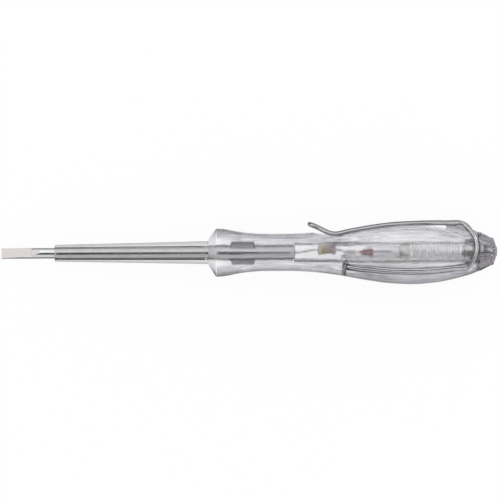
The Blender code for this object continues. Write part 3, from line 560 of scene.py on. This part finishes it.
# Angles of the columns at each x: one column runs along the flat's edge, where cos(angle) = floor / radius,
# and the columns crowd together over the leg grooves.
def handleAngles(x):
    h = handle
    xs = np.clip(x, outline["flatFrontX"] + h["flatMargin"], outline["flatRearX"])
    crease = np.arccos(np.clip(flatFloor(xs) / handleRadius(xs), -1, 1))
    crease = np.maximum(crease, h["leastCrease"])[:, None]
    return stoppedAngles((0, crease, h["grooveFrom"], h["grooveTo"], np.pi), h["columnCounts"])


# Share of a thread's ridge at (x, angle), climbing one pitch a turn: a foot, then a straight flank to the crest,
# both in shares of the pitch.
def threadRidge(x, angle, thread):
    phase = ((x - thread["threadFromX"]) / thread["pitch"] + angle / (2 * np.pi)) % 1
    foot, flank = thread["ridge"]
    return ramp(np.abs(phase - 0.5), foot, flank)


# Rows of the outside from front to rear: r is the outline, cut by the flat's plane at floor / cos(angle), and
# carved along the wire. Rows of the inside come back from rear to front: thread, bore, blade's hole and mouth.
def handlePoints():
    h, o = handle, outline
    nose = rounded([(o["frontX"], h["bladeRadius"]), (o["frontX"], h["mouthRadius"] + h["mouthLand"]),
                    (o["rimX"], o["flareRadius"]), (o["flareX"], o["flareRadius"]),
                    (h["noseEndX"], handleRadius(h["noseEndX"]))], h["edge"])
    stations = spans(*h["rows"])
    rearX, rearOff = np.array(h["rearEdge"]).T
    x = np.concatenate([nose[:, 0], stations, rearX])
    r = np.concatenate([nose[:, 1], handleRadius(stations), o["rearRadius"] + rearOff])
    angle = handleAngles(x)
    grid, radius = x[:, None] + 0 * angle, r[:, None] + 0 * angle
    inFlat = (grid > o["flatFrontX"]) & (grid < o["flatRearX"] + h["flatMargin"])
    inFlat = inFlat & (np.cos(angle) > h["flatCosine"])
    radius = np.where(inFlat, np.minimum(radius, flatFloor(grid) / notZero(np.cos(angle))), radius)
    # The wire lies in grooves with a gap beside it, and its hooks fill their holes
    wireAt = np.hypot(clipPath[:, 1], clipPath[:, 2])
    behind = (clipPath[:, 0] > h["grooveFrontX"]) | (clipPath[:, 2] < h["grooveHeight"])
    shallow = wireAt > handleRadius(clipPath[:, 0]) - h["grooveDepth"]
    for chosen, reach in ((behind & shallow, clip["wireRadius"] + h["grooveGap"]),
                          (behind & ~shallow & (wireAt > h["holeFloor"]), clip["wireRadius"] - h["hookSink"])):
        radius = carve(grid, angle, radius, clipPath[chosen], reach)

    even = evenAngles(angle.shape[1])
    threadX = np.arange(o["rearX"], h["threadX"], -h["threadStep"])[:, None]
    ridge = threadRidge(threadX, even, h) * ramp(threadX, h["threadX"], h["threadFade"])
    threadR = between(h["boreRadius"], h["threadMajor"], ridge)
    wide = np.append(np.arange(h["threadX"] - h["boreEdge"], h["tailX"], -h["boreStep"]), h["tailX"] + h["boreEdge"])
    narrow = np.arange(h["tailX"], h["boreFrontX"], -h["boreStep"])
    bore = np.concatenate([[(a, h["boreRadius"]) for a in wide], [(h["tailX"], h["boreRadius"] - h["tailEdge"])],
                           [(a, h["bladeRadius"]) for a in narrow]])
    return np.vstack([polar(grid, angle, radius), polar(threadX, even, threadR),
                      polar(bore[:, :1], even, bore[:, 1:])])


addPiece("clear_handle", gridMesh(handlePoints(), ring=True), clearPlastic("clearHandlePlastic", plasticLook),
         "clear_plastic", "grip", "handle", sharpAngle=40)

blade = dict(
    radius=1.5, tipHalf=0.25, grindHalf=0.87, grindX=8.75, grindTurn=math.radians(71), runoutHalf=1.24, runoutX=11.3,
    leastEdge=0.15, wingX=(65.5, 73.0), wingSpan=2.3, wingHalf=0.65, wingTurn=math.radians(28), wingRamp=0.5,
    rows=(0.0, 0.02, (0.1, 8.7, 40), 8.74, 8.76, (8.9, 11.3, 13), (12, 65, 1.0), (65.1, 66.1, 8), (66.6, 71.9, 10),
          (72.4, 73.4, 8), (74, 84, 1.0), 84.0, 84.15, 84.2), tailShares=(0.99, 0.9), columnCounts=(14, 10))
bladeLook = dict(
    colour=(0.78, 0.78, 0.78), dullColour=(0.68, 0.68, 0.68), groundColour=(0.78, 0.735, 0.735),
    mouldedColour=(0.55, 0.55, 0.56), paintedEdgeShade=(0.16, 0.16, 0.17), roughness=0.1, groundDull=0.4, pressedDull=0.3,
    mouldedDull=0.08, mouldedSmooth=0.85, rings=(1.0, 2.0, 0.5, (5200, 240, 240)),
    crossLines=(1.0, 4.0, 0.7, (9000, 500, 500), (0, 0, 0.12)), stain=(1.0, 3.0, 0.6, (500, 900, 900)),
    lineDull=(-0.03, 0.06), stainDull=(0.0, 0.06), stainShare=(0, 1, 0.4, 0.8), rodRadius=1.5, flatMargin=0.008,
    wingMargin=0.02, groundLength=11.4, mouldedX=59.8, strength=0.18, depth=0.00005)


# Radius of the blade at (x, angle): the rod, cut by two flats at half / |cos(angle - turn)| near the tip, and
# swollen to a box, the nearer of span / |cos| and half / |sin|, over the wings.
def bladePoints():
    b = blade
    x = spans(*b["rows"])
    ground = between(b["tipHalf"], b["grindHalf"], x / b["grindX"])
    leave = between(b["runoutHalf"], b["radius"], (x - b["grindX"]) / (b["runoutX"] - b["grindX"]))
    half = np.where(x < b["grindX"], ground, np.minimum(leave, 2 * b["radius"]))[:, None]
    # Columns bunch at the flats' edges, which part from the round where cos = half / radius
    edge = np.maximum(np.arccos(np.clip(half / b["radius"], 0, 1)), b["leastEdge"])
    halfTurn = stoppedAngles((0, edge, np.pi / 2), b["columnCounts"])
    angle = np.concatenate([halfTurn, halfTurn + np.pi], axis=1)
    radius = np.minimum(b["radius"], half / notZero(np.cos(angle)))
    turn = angle + b["grindTurn"] - b["wingTurn"]
    box = np.minimum(b["wingSpan"] / notZero(np.cos(turn)), b["wingHalf"] / notZero(np.sin(turn)))
    inside = np.minimum(x - b["wingX"][0], b["wingX"][1] - x)
    rise = softStep(ramp(inside, 0, b["wingRamp"]))[:, None]
    radius = radius + np.maximum(box - radius, 0) * rise
    radius[-2:] *= np.array(b["tailShares"])[:, None]
    return polar(x[:, None], angle + b["grindTurn"], radius)


addPiece("blade_rod", gridMesh(bladePoints()), groundSteel("polishedBladeSteel", bladeLook), "blade_steel", "grip",
         "blade", sharpAngle=25)

# Mouth and rear are rows of (x, radius), with their corners rounded
sleeve = dict(
    mouth=((15.3, 1.57), (15.3, 2.16), (15.55, 2.41), (16.2, 2.43)),
    rear=((59.07, 3.31), (59.57, 3.31), (59.57, 1.76)), boreRear=1.66, edge=0.12, rows=40, columns=96)
sleeveLook = dict(
    plasticSkin, colour=(0.74, 0.735, 0.74), roughness=0.02, scuffDull=0.07, cloudDull=0.0245, waves=(0.3, 1.5, 0.4),
    waveStrength=0.03, flow=(1.0, 4.0, 0.72, (20, 900, 900)), flowShare=0.4, flowColour=(0.68, 0.675, 0.68),
    edgeFrom=0.3, paintedEdgeShade=(0.4, 0.39, 0.4), boreRadius=1.7, boreAndPaintedGlareColour=(0.95, 0.95, 0.95))


# Outline of the tube: a taper with a chamfered mouth, close round the blade, up to its weld in the collar.
def sleeveProfile():
    s = sleeve
    start, end = np.array(s["mouth"][-1]), np.array(s["rear"][1])
    taper = between(start, end, np.linspace(0, 1, s["rows"])[1:-1, None])
    return np.vstack([rounded(s["mouth"], s["edge"]), taper, rounded(s["rear"], s["edge"]),
                      [(end[0], s["boreRear"])]])


addPiece("clear_sleeve", turned(sleeveProfile(), sleeve["columns"], ring=True),
         clearPlastic("clearSleevePlastic", sleeveLook), "sleeve_plastic", "grip", "blade_sleeve", sharpAngle=40)

# The resistor lies high in the bore, so each lead leaves its cup square and bends down to the axis: its keys are
# (x, height). The cup's profile is (depth, radius): a domed end with a hole, a rolled rim, and its inside
resistor = dict(
    x=91.5, endX=96.7, radius=1.15, coatInset=0.32, coatSwell=0.05, lift=0.65,
    cup=((0, 0.29), (0, 1.1316), (0.12, 1.38), (0.8, 1.36), (0.9, 1.38), (0.95, 1.35), (0.95, 1.24), (0.24, 1.24),
         (0.24, 0.29)),
    edge=0.06, columns=48, rows=24, leadRadius=0.25, step=0.15, softEnd=0.1, leadColumns=16,
    frontLead=((84.4, 0), (85.5, 0), (90.4, 0.65), (91.5, 0.65), (91.7, 0.65)),
    rearLead=((96.5, 0.65), (96.7, 0.65), (97.8, 0.65), (99.7, 0), (100.0, 0), (101.2, 0)))
coatLook = dict(
    colour=(0.66, 0.56, 0.4), grainColour=(0.56, 0.46, 0.31), changedColour=(0.6, 0.48, 0.5),
    change=(0, 1, 94.5, 94.95), wobble=(1.2, 2.0, 0.5), wobbleReach=0.5, grain=(5.0, 3.0, 0.6),
    grainDull=(-0.08, 0.1), roughness=0.5, strength=0.25, depth=0.0001, fixed=dict(Specular_IOR_Level=0.4))
tinLook = dict(
    pebbledSkin, colour=(0.75, 0.66, 0.54), dullColour=(0.6, 0.51, 0.4), roughness=0.35, strength=0.3)
rearTinLook = dict(tinLook, colour=(0.7, 0.6, 0.62), dullColour=(0.55, 0.46, 0.48))
leadLook = dict(
    drawnSkin, colour=(0.55, 0.54, 0.55), dullColour=(0.4, 0.39, 0.4), roughness=0.28, strength=0.3)


# The body swells a little at each end, as a dipped coat does: r + swell (2 s - 1)^2.
def resistorProfile():
    r = resistor
    s = np.linspace(0, 1, r["rows"])
    x = between(r["x"] + r["coatInset"], r["endX"] - r["coatInset"], s)
    return np.column_stack([x, r["radius"] + r["coatSwell"] * (2 * s - 1) ** 2])


addPiece("resistor_coat", turned(resistorProfile(), resistor["columns"], lift=resistor["lift"]),
         changingSkin("dippedResistorCoat", coatLook), "resistor_ceramic", "grip", "resistor_body")
for name, x, way, finish, node in (
        ("resistor_cup_front", resistor["x"], 1, plainMetal("tinnedCapMetal", tinLook), "resistor_front_cap"),
        ("resistor_cup_rear", resistor["endX"], -1, plainMetal("rearTinnedCapMetal", rearTinLook),
         "resistor_rear_cap")):
    cup = rounded(resistor["cup"], resistor["edge"], closed=True) * (way, 1) + (x, 0)
    addPiece(name, turned(cup, resistor["columns"], True, resistor["lift"]), finish, "tinned_metal", "grip", node)
leadWire = plainMetal("tinnedLeadWire", leadLook)
for name, keys, node in (("lead_front", "frontLead", "resistor_front_lead"),
                         ("lead_rear", "rearLead", "resistor_rear_lead")):
    path = smoothCurve([(x, 0, height) for x, height in resistor[keys]], resistor["step"])
    leadMesh = tube(path, softEnds(path, resistor["leadRadius"], resistor["softEnd"]), resistor["leadColumns"])
    addPiece(name, leadMesh, leadWire, "tinned_metal", "grip", node)

ferrule = dict(
    x=100.0, length=2.4, inner=0.3, outer=0.6, edge=0.08, crimps=(0.3, 0.7), crimpDepth=0.1, crimpReach=0.09,
    rows=40, boreRows=6, columns=40)
brassLook = dict(
    pebbledSkin, skin=(6.0, 3.0, 0.55), colour=(0.78, 0.76, 0.73), dullColour=(0.64, 0.62, 0.6), roughness=0.28,
    strength=0.15)


# A short tube with two crimps, each a pair of dents: r - depth exp(-(s - c)^2 / w^2) cos^2(angle).
def ferrulePoints():
    f = ferrule
    edge = f["outer"] - f["edge"]
    s = spans((0, 1, f["rows"]), 1.0, (1, 0, f["boreRows"]), 0.0)
    r = np.repeat([f["outer"], edge, f["inner"], edge], (f["rows"], 1, f["boreRows"], 1))
    angle = evenAngles(f["columns"])
    dents = sum(np.exp(-((s - c) / f["crimpReach"]) ** 2) for c in f["crimps"]) * (r > edge)
    radius = r[:, None] - f["crimpDepth"] * dents[:, None] * np.cos(angle) ** 2
    return polar((f["x"] + f["length"] * s)[:, None], angle, radius)


contactBrass = plainMetal("turnedBrass", brassLook)
addPiece("crimped_ferrule", gridMesh(ferrulePoints(), ring=True), contactBrass, "brass", "grip", "lead_ferrule")

# The contact cup's profiles are (x, radius). Columns are the bead's, those of glass and cup, and the wires'
lamp = dict(
    beadX=103.9, beadEndX=107.6, beadFront=0.6, beadRear=1.08, beadBow=0.06, beadRound=0.08, beadRows=26,
    wireFrontX=101.3, wireX=(102.4, 103.5), wireOffset=0.45, wireRadius=0.125, wireEndX=114.9, rodRadius=0.24,
    rodStart=0.1, rodRamp=0.3, rodEndX=112.9, foldTurns=(30, 60, 90, 120, 150), foldBefore=0.3, foldGap=0.1,
    step=0.12, softEnd=0.12, straightWithin=0.02, glassX=104.8, glassEndX=117.2, mouthRadius=1.15,
    glassRadius=1.65, wall=0.2, shoulder=1.9, shoulderRows=9, dome=2.0, domeTurn=84, domeRows=16, poleRadius=0.02,
    cupInside=((117.35, 0.05), (117.35, 1.65)), cupEdge=0.12, pip=((117.8, 0.5), (117.8, 0.05)),
    cup=((117.35, 1.55), (117.35, 1.75), (115.0, 1.75), (115.0, 2.0), (117.7, 2.0), (117.7, 0.7)),
    columns=(48, 64, 14))
beadLook = dict(
    colour=(0.62, 0.13, 0.19), grainColour=(0.75, 0.25, 0.3), changedColour=(0.85, 0.45, 0.5),
    change=(1, 0, 103.9, 105.6), wobble=(3.5, 3.0, 0.6), wobbleReach=1, grain=(3.5, 3.0, 0.6),
    grainDull=(-0.05, 0.08), roughness=0.2, strength=0.15, depth=0.0001,
    fixed=dict(Coat_Weight=0.5, Coat_Roughness=0.05))
bulbLook = dict(
    colour=(0.96, 0.95, 0.96), grainColour=(0.96, 0.95, 0.96), changedColour=(0.8, 0.78, 0.82),
    change=(0, 0.5, 113.5, 116.5), wobble=(1.0, 3.0, 0.6, (90, 1800, 1800)), wobbleReach=2,
    grain=(1.0, 3.0, 0.6, (90, 1800, 1800)), grainDull=(0.0, 0.05), roughness=0.01, strength=0.1,
    depth=0.0001, fixed=dict(IOR=1.47, Transmission_Weight=1.0))


# The bead is a drop of glass: a cone whose sides bow out by sin(pi s) and whose ends are rounded.
def beadProfile():
    s = np.linspace(0, 1, lamp["beadRows"])
    r = between(lamp["beadFront"], lamp["beadRear"], s) + lamp["beadBow"] * np.sin(np.pi * s)
    for fromEnd in (s, 1 - s):
        r = r * np.sqrt(1 - np.clip(1 - fromEnd / lamp["beadRound"], 0, 0.9) ** 2)
    return np.column_stack([between(lamp["beadX"], lamp["beadEndX"], s), r])


# Closed tube with an open mouth: a soft step from mouth to wall and a round end, x + dome sin(a) and r cos(a),
# then the same inside, a wall's thickness in.
def bulbProfile():
    g = lamp
    a, s = np.radians(np.linspace(0, g["domeTurn"], g["domeRows"])), np.linspace(0, 1, g["shoulderRows"])

    def skin(inset):
        mouth, radius, dome = (g[key] - inset for key in ("mouthRadius", "glassRadius", "dome"))
        return np.vstack([
            np.column_stack([g["glassX"] + g["shoulder"] * s, between(mouth, radius, softStep(s))]),
            np.column_stack([g["glassEndX"] - g["dome"] + dome * np.sin(a), radius * np.cos(a)])])

    pole = [(g["glassEndX"], g["poleRadius"]), (g["glassEndX"] - g["wall"], g["poleRadius"])]
    return np.vstack([skin(0), pole, skin(g["wall"])[::-1]])


# An electrode wire swells to its rod behind the bead: radius a + (b - a) smooth((x - x0) / ramp).
def electrode(name, keys, node):
    path = smoothCurve(keys, lamp["step"])
    behind = ramp(path[:, 0], lamp["beadEndX"] + lamp["rodStart"], lamp["rodRamp"])
    straight = np.abs(np.abs(path[:, 1]) - lamp["wireOffset"]) < lamp["straightWithin"]
    radius = between(lamp["wireRadius"], lamp["rodRadius"], softStep(behind * straight))
    radius = radius * softEnds(path, 1.0, lamp["softEnd"])
    addPiece(name, tube(path, radius, lamp["columns"][2]), leadWire, "nickel_wire", "grip", node)


addPiece("red_bead", turned(beadProfile(), lamp["columns"][0]), changingSkin("redBeadGlass", beadLook), "red_glass",
         "grip", "lamp_bead")
addPiece("lamp_bulb", turned(bulbProfile(), lamp["columns"][1], ring=True), changingSkin("clearLampGlass", bulbLook),
         "lamp_glass", "grip", "lamp_glass")
# A pressed contact cup with a rolled front rim and a small raised pip in the middle of its base
cup = np.vstack([lamp["cupInside"], rounded(lamp["cup"], lamp["cupEdge"]), lamp["pip"]])
addPiece("lamp_cup", turned(cup, lamp["columns"][1]), contactBrass, "brass", "grip", "lamp_contact_cap")
offset, beadX, beadEndX, rodEndX = (lamp[key] for key in ("wireOffset", "beadX", "beadEndX", "rodEndX"))
frontKeys = [(lamp["wireFrontX"], 0, 0), (lamp["wireX"][0], 0, 0), (lamp["wireX"][1], offset, 0),
             (beadX, offset, 0), (beadEndX, offset, 0), (rodEndX, offset, 0)]
electrode("electrode_front", frontKeys, "lamp_electrode_front")
# The second wire folds back over the bead's front in a half circle, and runs along the glass to the cup
fold = (lamp["glassRadius"] + lamp["foldGap"] + lamp["wireRadius"] - offset) / 2
foldX, outerY = beadX - lamp["foldBefore"], -offset - 2 * fold
returnKeys = [(x, -offset, 0) for x in (rodEndX, beadEndX, beadX, foldX)]
for a in np.radians(lamp["foldTurns"]):
    returnKeys.append((foldX - fold * math.sin(a), -offset - fold * (1 - math.cos(a)), 0))
returnKeys += [(x, outerY, 0) for x in (beadX, beadX + fold, lamp["wireEndX"])]
electrode("electrode_return", returnKeys, "lamp_electrode_rear")

spring = dict(x=117.9, endX=132.1, radius=1.53, wireRadius=0.2, turns=16, pointsPerTurn=28, columns=10)
springLook = dict(
    drawnSkin, colour=(0.97, 0.97, 0.98), dullColour=(0.88, 0.88, 0.9), paintedEdgeShade=(0.5, 0.5, 0.52), roughness=0.22,
    strength=0.2)
# A small disc whose front face has a groove, for the spring's last coil: its profile is (x, radius)
seatDisc = dict(
    profile=((132.2, 0.05), (132.2, 0.6), (132.32, 0.75), (132.32, 1.2), (132.2, 1.35), (132.2, 1.85),
             (132.8, 1.85), (132.8, 0.05)), edge=0.08, columns=48)


# One wire: straight for its own diameter, then r cos and r sin of the turn with x in step, then straight again.
def springPath():
    s = spring
    straight = 2 * s["wireRadius"]
    turn = np.linspace(0, 2 * np.pi * s["turns"], s["turns"] * s["pointsPerTurn"] + 1)
    x = between(s["x"] + straight, s["endX"] - straight, turn / turn[-1])
    coils = np.column_stack([x, s["radius"] * np.cos(turn), s["radius"] * np.sin(turn)])
    return np.vstack([[(s["x"], s["radius"], 0)], coils, [(s["endX"], s["radius"], 0)]])


addPiece("coil_spring", tube(springPath(), spring["wireRadius"], spring["columns"]),
         plainMetal("brightSpringWire", springLook), "spring_steel",
         ("grip", "seat", (spring["x"], 0, 0), (spring["endX"], 0, 0)), "contact_spring")
addPiece("spring_disc", turned(rounded(seatDisc["profile"], seatDisc["edge"]), seatDisc["columns"]), contactBrass,
         "brass", "seat", "spring_seat")

# The thread counts from half a pitch on from the handle's ridges, so that the two mesh
stud = dict(
    x=132.9, core=2.0, crest=2.48, pitch=0.8, ridge=(0.17, 0.22), noseRadius=2.35, threadFromX=133.3, threadX=135.2,
    threadEndX=137.8, threadFade=0.4, coreRamp=0.3, step=0.07, slotHalf=0.35, slotDepth=1.0, slotTurn=0.35,
    columns=120, endGap=0.05, fadeGap=0.2, face=(0.15, 0.5, 0.9, 1.3, 1.6, 1.9, 2.15, 2.3),
    neck=((137.78, 2.0), (137.8, 2.05), (137.8, 2.4), (137.9, 2.5), (139.8, 2.5), (139.9, 2.4), (139.9, 0.3)))
studLook = dict(
    pebbledSkin, skin=(5.0, 3.0, 0.55), colour=(0.78, 0.76, 0.76), dullColour=(0.58, 0.56, 0.56), roughness=0.25,
    strength=0.2)


# A bolt with a plain slotted nose: behind the nose the radius rises from core to crest with the height of a
# ridge that climbs one pitch a turn, and points over the slot sink to its floor.
def studPoints():
    s = stud
    body = np.arange(s["x"] + s["endGap"], s["threadEndX"] - s["endGap"], s["step"])
    bodyR = between(s["noseRadius"], s["core"], ramp(body, s["threadX"], s["coreRamp"]))
    x, r = np.vstack([[(s["x"], ring) for ring in s["face"]], np.column_stack([body, bodyR]), s["neck"]]).T[..., None]
    angle = evenAngles(s["columns"])
    left = s["threadEndX"] - s["fadeGap"] - x
    fade = ramp(x, s["threadX"], s["threadFade"]) * ramp(left, 0, s["threadFade"])
    radius = between(r, s["crest"], threadRidge(x, angle, s) * fade)
    overSlot = np.abs(radius * np.sin(angle + s["slotTurn"])) < s["slotHalf"]
    floorX = s["x"] + s["slotDepth"]
    return polar(np.where(overSlot & (x < floorX), floorX, x), angle, radius)


addPiece("threaded_stud", gridMesh(studPoints()), plainMetal("darkTurnedBrass", studLook), "brass", "cap", "cap_stud",
         sharpAngle=30)

# Front is rows of (x, radius), the first of them inside the bore, and outline is a table of (share of the length,
# share of the radius). The bumps stand out back and outwards, by the two numbers of their way
cap = dict(
    x=137.76, length=5.04, radius=5.63, touchRadius=0.4, boreRows=4,
    front=((140.0, 0.3), (140.0, 2.6), (137.81, 2.6), (137.76, 2.65), (137.76, 5.53), (137.8, 5.61)),
    outline=((0, 1), (0.22, 0.91), (0.45, 0.81), (0.6, 0.735), (0.63, 0.7), (0.75, 0.62), (0.88, 0.44), (1, 0.22)),
    rows=((0.03, 0.6, 34), 0.61, 0.62, 0.63, 0.64, (0.66, 1, 26)), columns=480, fluteCount=8, fluteRadius=0.6,
    fluteSink=0.38, fluteTurn=math.radians(4.8), fluteLength=3.1, fluteRows=(-0.15, 1, 60), bumpCount=20,
    bumpHeight=0.42, bumpX=141.5, bumpReach=0.48, bumpFoot=0.15, bumpWay=(0.6, 0.8))
capLook = dict(
    pebbledSkin, colour=(0.36, 0.35, 0.37), dullColour=(0.27, 0.26, 0.29), paintedEdgeShade=(0.8, 0.8, 0.82),
    roughness=0.06, strength=0.2)


# Rows from the bore's floor out over the front face, back along the fluted side, over the edge band and the
# ring of bumps, each bump ((1 + cos(count a)) / 2)^2 high less its foot, to the flat touch face.
def capPoints():
    c = cap
    shares = spans(*c["rows"])
    front, radius = c["x"], c["radius"]
    side = np.column_stack([front + c["length"] * shares, radius * readTable(shares, c["outline"])])
    x, r = np.vstack([c["front"], side, [(front + c["length"], c["touchRadius"])]]).T[..., None]
    angle = evenAngles(c["columns"]) + 0 * x
    grid, turned = x + 0 * angle, r + 0 * angle
    outside = (np.arange(len(x)) >= c["boreRows"])[:, None]
    rearHeight = radius * readTable(c["fluteLength"] / c["length"], c["outline"])
    s = np.linspace(*c["fluteRows"])
    height = between(radius, rearHeight, s) + c["fluteRadius"] - c["fluteSink"]
    flutes = [polar(front + c["fluteLength"] * s, c["fluteTurn"] + 2 * math.pi * k / c["fluteCount"], height)
              for k in range(c["fluteCount"])]
    fluted = np.where(outside, carve(grid, angle, turned, np.vstack(flutes), c["fluteRadius"]), turned)
    band = np.exp(-(((grid - c["bumpX"]) / c["bumpReach"]) ** 2)) * outside
    bump = c["bumpHeight"] * band * ((0.5 + 0.5 * np.cos(c["bumpCount"] * angle)) ** 2 - c["bumpFoot"])
    return polar(grid + c["bumpWay"][0] * bump, angle, fluted + c["bumpWay"][1] * bump)


addPiece("fluted_cap", gridMesh(capPoints()), plainMetal("satinNickel", capLook), "nickel", "cap", "end_cap",
         sharpAngle=55)

# The studio, in metres and degrees. Its surroundings are an evenly lit white tent. Bright metal and clear plastic
# need dark edges to show their shape, so sheets of matt card and strips of painted shade lie round the tool, out of
# the camera's sight.
studio = dict(
    floorSize=(0.26, 0.17), floorMiddle=(0.072, 0, -0.00745), tilt=math.radians(2.39), floorShade=0.95,
    floorShine=0.1, fibres=(1.0, 3.0, 0.6, (300, 300, 300)), glowShare=0.92, weave=(1.0, 2.0, 0.5, (400, 400, 400)),
    stripLift=0.0002, cameraLift=3.0, aim=(0.07161, 0.0007), lens=749.5, roll=math.radians(-0.246),
    nearAndFar=(0.01, 20), lampAim=(0.07, 0, 0))
# Each card is a shade, its span in x, its span in angles from overhead towards the clip's side, and its distance
cards = {"overhead": (0.04, (-1.2, 0.1), (-32, 11), 1.3), "rearGrey": (0.42, (1.0, 2.4), (-48, 55), 1.3),
         "greySide": (0.75, (-2, 2), (-40, -85), 1.4)}
# The strips are painted shade on the paper, seen only in reflections and refractions: four along the tool, one under
# the bulge and one behind the cap. Each is a shade, its span in x, and its span to the clip's side, in heights of the
# tool's axis.
strips = {
    "sleeve_strip_clip": (0.03, (-0.012, 0.059), (1.75, 8.0)),
    "sleeve_strip_far": (0.03, (-0.012, 0.059), (-0.95, -5.0)),
    "handle_strip_clip": (0.25, (0.0592, 0.15), (1.75, 8.0)),
    "handle_strip_far": (0.25, (0.0592, 0.15), (-0.95, -5.0)),
    "under_strip": (0.9, (0.1, 0.134), (-0.142, -0.19)),
    "end_strip": (0.35, (0.1635, 0.2), (-3.0, 3.0)),
}
# Each lamp is a place, a width and a power in watts
lamps = {"topLeft": ((-0.25, 0.45, 0.75), 0.8, 0.4), "rear": ((0.46, 0.4, 0.06), 0.12, 0.2),
         "low": ((0.62, 0.1, 0.16), 0.3, 0.22)}
square = ((0, 0), (1, 0), (1, 1), (0, 1))  # which end of its length and of its width each corner of a sheet is at


# A flat stage sheet from its four corners; hidden names the rays that don't see it.
def addSheet(name, corners, finish, *hidden):
    mesh = bpy.data.meshes.new(name)
    mesh.from_pydata([tuple(corner) for corner in corners], [], [(0, 1, 2, 3)])
    mesh.materials.append(finish.owner)
    sheet = putInScene(name, mesh)
    for rays in hidden:
        setattr(sheet, "visible_" + rays, False)


# The paper touches the tool's collar and bulge, so it's tilted to the axis. The camera, mirrors and clear pieces
# see it as white as the tent
paper = mattPaint("studioPaper", studio["floorShade"], studio["floorShine"], studio["fibres"])
fromCamera, glossy, through = paper.add("ShaderNodeLightPath",
                                        output=("Is Camera Ray", "Is Glossy Ray", "Is Transmission Ray"))
seen = (fromCamera + glossy + through).math("MINIMUM", 1.0) * studio["glowShare"]
glow = paper.add("ShaderNodeEmission", None, {"Color": (1, 1, 1), "Strength": 1.0})
mixed = paper.add("ShaderNodeMixShader", None, {0: seen, 1: Value(paper, paper.surface.outputs[0]), 2: glow})
paper.join(paper.tree.nodes["Material Output"].inputs["Surface"], mixed)
flat = np.array([((i - 0.5) * studio["floorSize"][0], (j - 0.5) * studio["floorSize"][1], 0) for i, j in square])
lean = np.array(Matrix.Rotation(studio["tilt"], 3, "Y"))
addSheet("studio_floor", flat @ lean.T + np.array(studio["floorMiddle"]), paper)

world = bpy.data.worlds.new("softTent")
bpy.context.scene.world = world
world.use_nodes = True
tent = world.node_tree.nodes["Background"].inputs
tent["Color"].default_value, tent["Strength"].default_value = (1, 1, 1, 1), 1.0

for name, (shade, x, turns, distance) in cards.items():
    corners = [(x[i], distance * math.sin(math.radians(turns[j])), distance * math.cos(math.radians(turns[j])))
               for i, j in square]
    addSheet(name + "_card", corners, mattPaint(name + "Card", shade, 0.0, studio["weave"]), "camera", "diffuse")
# Strips of painted shade: hidden from the camera, from diffuse light and from shadows
for name, (shade, x, reach) in strips.items():
    paperZ = [studio["floorMiddle"][2] - (end - studio["floorMiddle"][0]) * math.tan(studio["tilt"]) for end in x]
    corners = [(x[i], -paperZ[i] * reach[j], paperZ[i] + studio["stripLift"]) for i, j in square]
    addSheet(name, corners, mattPaint(name + "PaintedShade", shade, 0.0, studio["weave"]), "camera", "diffuse", "shadow")

for name, (place, width, power) in lamps.items():
    light = bpy.data.lights.new(name, "AREA")
    light.shape, light.size, light.energy = "DISK", width, power
    lightObject = putInScene(name, light)
    lightObject.location = place
    lightObject.rotation_euler = (Vector(studio["lampAim"]) - Vector(place)).to_track_quat("-Z", "Y").to_euler()

camera = bpy.data.cameras.new("squareOn")
camera.lens = studio["lens"]
camera.clip_start, camera.clip_end = studio["nearAndFar"]
cameraObject = putInScene("squareOn", camera)
cameraObject.location = (*studio["aim"], studio["cameraLift"])
cameraObject.rotation_euler = (0, 0, studio["roll"])
bpy.context.scene.camera = cameraObject
bpy.context.scene.view_settings.view_transform = "Standard"
print("studio ready")
